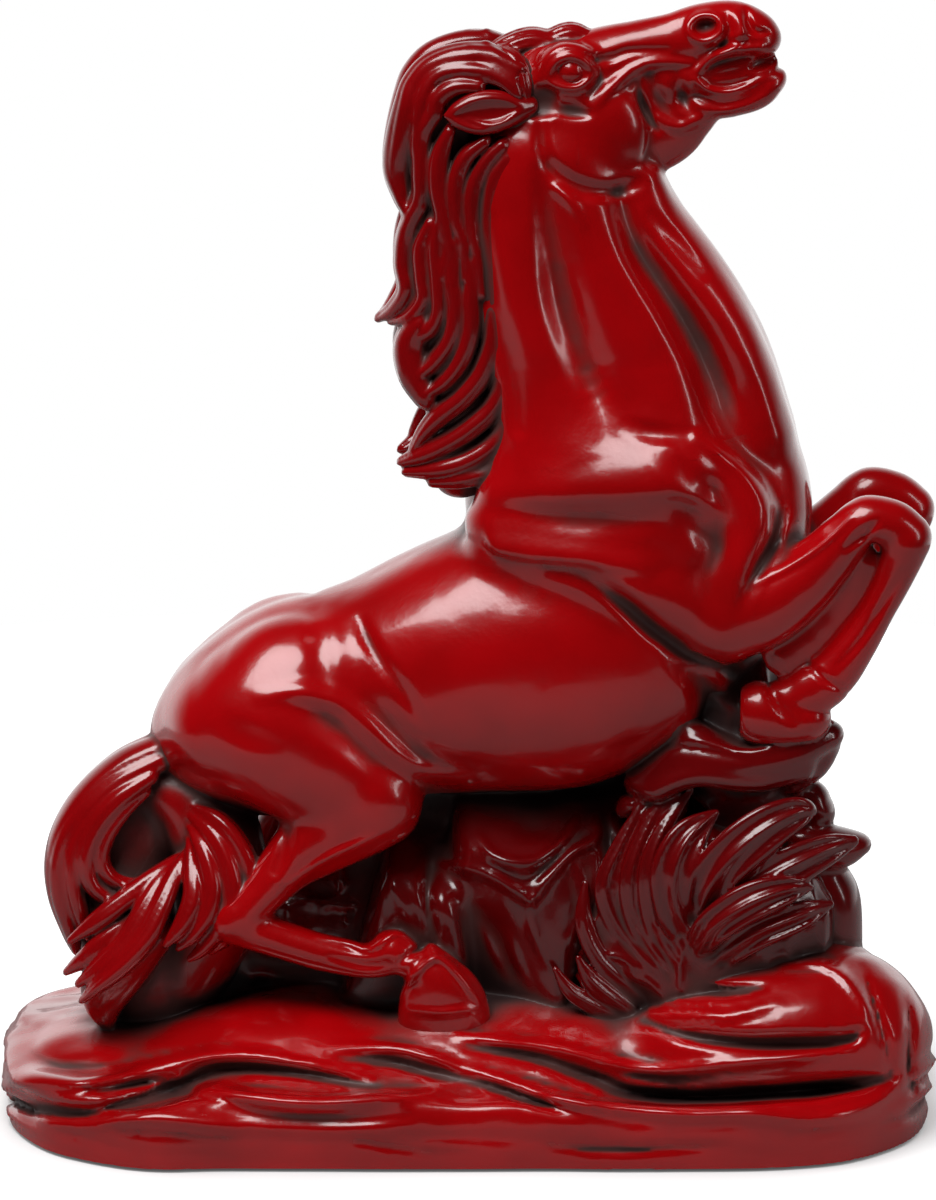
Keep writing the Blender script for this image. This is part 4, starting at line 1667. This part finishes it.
red_lacquer = lacquer()


def cast(name, form, low, high, cell):
    """The visible casting in the place of the solid of the same name."""
    points, quads, normals, hollow = skin(*form, low, high, cell)
    mesh = bpy.data.meshes.new(name + "_cast")
    mesh.vertices.add(len(points))
    mesh.vertices.foreach_set("co", (points / 1000).astype(np.float32).ravel())
    mesh.loops.add(quads.size)
    mesh.loops.foreach_set("vertex_index", quads.ravel())
    mesh.polygons.add(len(quads))
    mesh.polygons.foreach_set("loop_start", np.arange(0, quads.size, 4, dtype=np.int32))
    mesh.polygons.foreach_set("use_smooth", np.ones(len(quads), bool))
    mesh.update(calc_edges=True)
    mesh.normals_split_custom_set_from_vertices(normals.astype(np.float32))
    # A millimetre above the surface, the room tells how deep in a recess a point lies
    recess = sample(room, (points + normals - ROOM_LOW) / ROOM_CELL)
    patina = PATINA_IN_HOLLOWS * hollow + PATINA_IN_RECESSES * (recess - OPEN_SHARE) + PATINA.get(name, 0)
    soot = np.full(len(points), SOOT.get(name, 0))
    for key, values in (("patina", patina), ("recess", recess), ("soot", soot)):
        mesh.attributes.new(key, "FLOAT", "POINT").data.foreach_set("value", values.astype(np.float32))
    piece = bpy.data.objects.new(name + "_cast", mesh)
    bpy.context.scene.collection.objects.link(piece)
    mesh.materials.append(red_lacquer)
    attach(piece, "root")
    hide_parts(name)


for name, (form, low, high, cell) in pieces.items():
    cast(name, form, low, high, cell)

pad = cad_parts["felt_pad"]
pad.data.materials.clear()
pad.data.materials.append(felt())


# The photograph's view, the table and the light, in metres

SENSOR = 36
VIEW_MIDDLE_X = 0.5 / VIEW_SCALE
TABLE_RADIUS = 0.36
TABLE_IN_GLOSS = 0.16
CONTACT_SHADOW = 0.05
TABLE_ROUGHNESS = 0.9
TABLE_SHEEN = 0.1
IN_SHADOW = 0.05
IN_THE_OPEN = 0.85
BACKDROP_WAY = (0, 0.84, -0.54)
BACKDROP_EDGE = 0.75
OVERHEAD_LIGHT = 0.01
LAMP_AIM = (0, 0, 0.1)


def photo_camera():
    target = Vector((VIEW_MIDDLE_X, 0, VIEW_MIDDLE)) / 1000
    back = Vector((0, -math.cos(TILT), math.sin(TILT)))
    data = bpy.data.cameras.new("camera")
    data.sensor_fit = "VERTICAL"
    data.sensor_height = SENSOR
    data.lens = SENSOR * VIEW_DISTANCE * VIEW_SCALE / VIEW_HEIGHT
    camera = bpy.data.objects.new("camera", data)
    camera.location = target + back * VIEW_DISTANCE / 1000
    camera.rotation_euler = (-back).to_track_quat("-Z", "Y").to_euler()
    bpy.context.scene.collection.objects.link(camera)
    bpy.context.scene.camera = camera


def white_table():
    """White to the camera, darker in the figure's shadow, and dim where the gloss reflects it."""
    paint = new_material("white_table")
    rays = paint.add("LightPath", {}).outputs
    seen_by = rays["Is Camera Ray"]
    for ray in ("Is Glossy Ray", "Is Transmission Ray"):
        seen_by = paint.math("MAXIMUM", seen_by, paint.math("MULTIPLY", rays[ray], TABLE_IN_GLOSS))
    open_sky = paint.add("AmbientOcclusion", {"Distance": CONTACT_SHADOW}).outputs["AO"]
    inputs = {"Value": open_sky, "To Min": IN_SHADOW, "To Max": IN_THE_OPEN}
    clear = paint.add("MapRange", inputs).outputs["Result"]
    paint.feed(paint.last, {
        "Base Color": paint.mix(rays["Is Glossy Ray"], TABLE_GREY, MIRRORED_GREY),
        "Roughness": TABLE_ROUGHNESS,
        "Specular IOR Level": TABLE_SHEEN,
        "Emission Color": WHITE,
        "Emission Strength": paint.math("MULTIPLY", seen_by, clear),
    })
    return paint.owner


def add_table():
    bpy.ops.mesh.primitive_circle_add(vertices=96, radius=TABLE_RADIUS, fill_type="NGON")
    table = bpy.context.object
    table.name = "table"
    table.data.materials.append(white_table())
    table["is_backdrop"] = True


def studio():
    """White behind and below, as the camera sees it, but dark overhead and in front for the gloss."""
    world = Graph(bpy.data.worlds.new("studio"), "Background")
    bpy.context.scene.world = world.owner
    way = world.add("TexCoord", {}).outputs["Generated"]
    facing = world.add("VectorMath", {0: way, 1: BACKDROP_WAY}, operation="DOT_PRODUCT").outputs["Value"]
    inputs = {"Value": facing, "From Max": BACKDROP_EDGE, "To Min": OVERHEAD_LIGHT}
    bright = world.add("MapRange", inputs, interpolation_type="SMOOTHSTEP").outputs["Result"]
    camera_ray = world.add("LightPath", {}).outputs["Is Camera Ray"]
    world.feed(world.last, {"Color": WHITE, "Strength": world.math("MAXIMUM", camera_ray, bright)})


def softbox(name, at, width, height, power):
    data = bpy.data.lights.new(name, "AREA")
    data.shape = "RECTANGLE"
    data.size = width
    data.size_y = height
    data.energy = power
    lamp = bpy.data.objects.new(name, data)
    lamp.location = at
    lamp.rotation_euler = (Vector(LAMP_AIM) - Vector(at)).to_track_quat("-Z", "Y").to_euler()
    bpy.context.scene.collection.objects.link(lamp)


photo_camera()
add_table()
studio()
softbox("key", (-0.29, -0.36, 1.02), 0.74, 0.56, 9.5)
softbox("side", (1.1, -0.5, 0.5), 0.12, 0.7, 1.2)
bpy.context.scene.view_settings.view_transform = "Standard"

sizes = [[list(map(float, corner)) for corner in box] for box in (cad_box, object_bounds())]
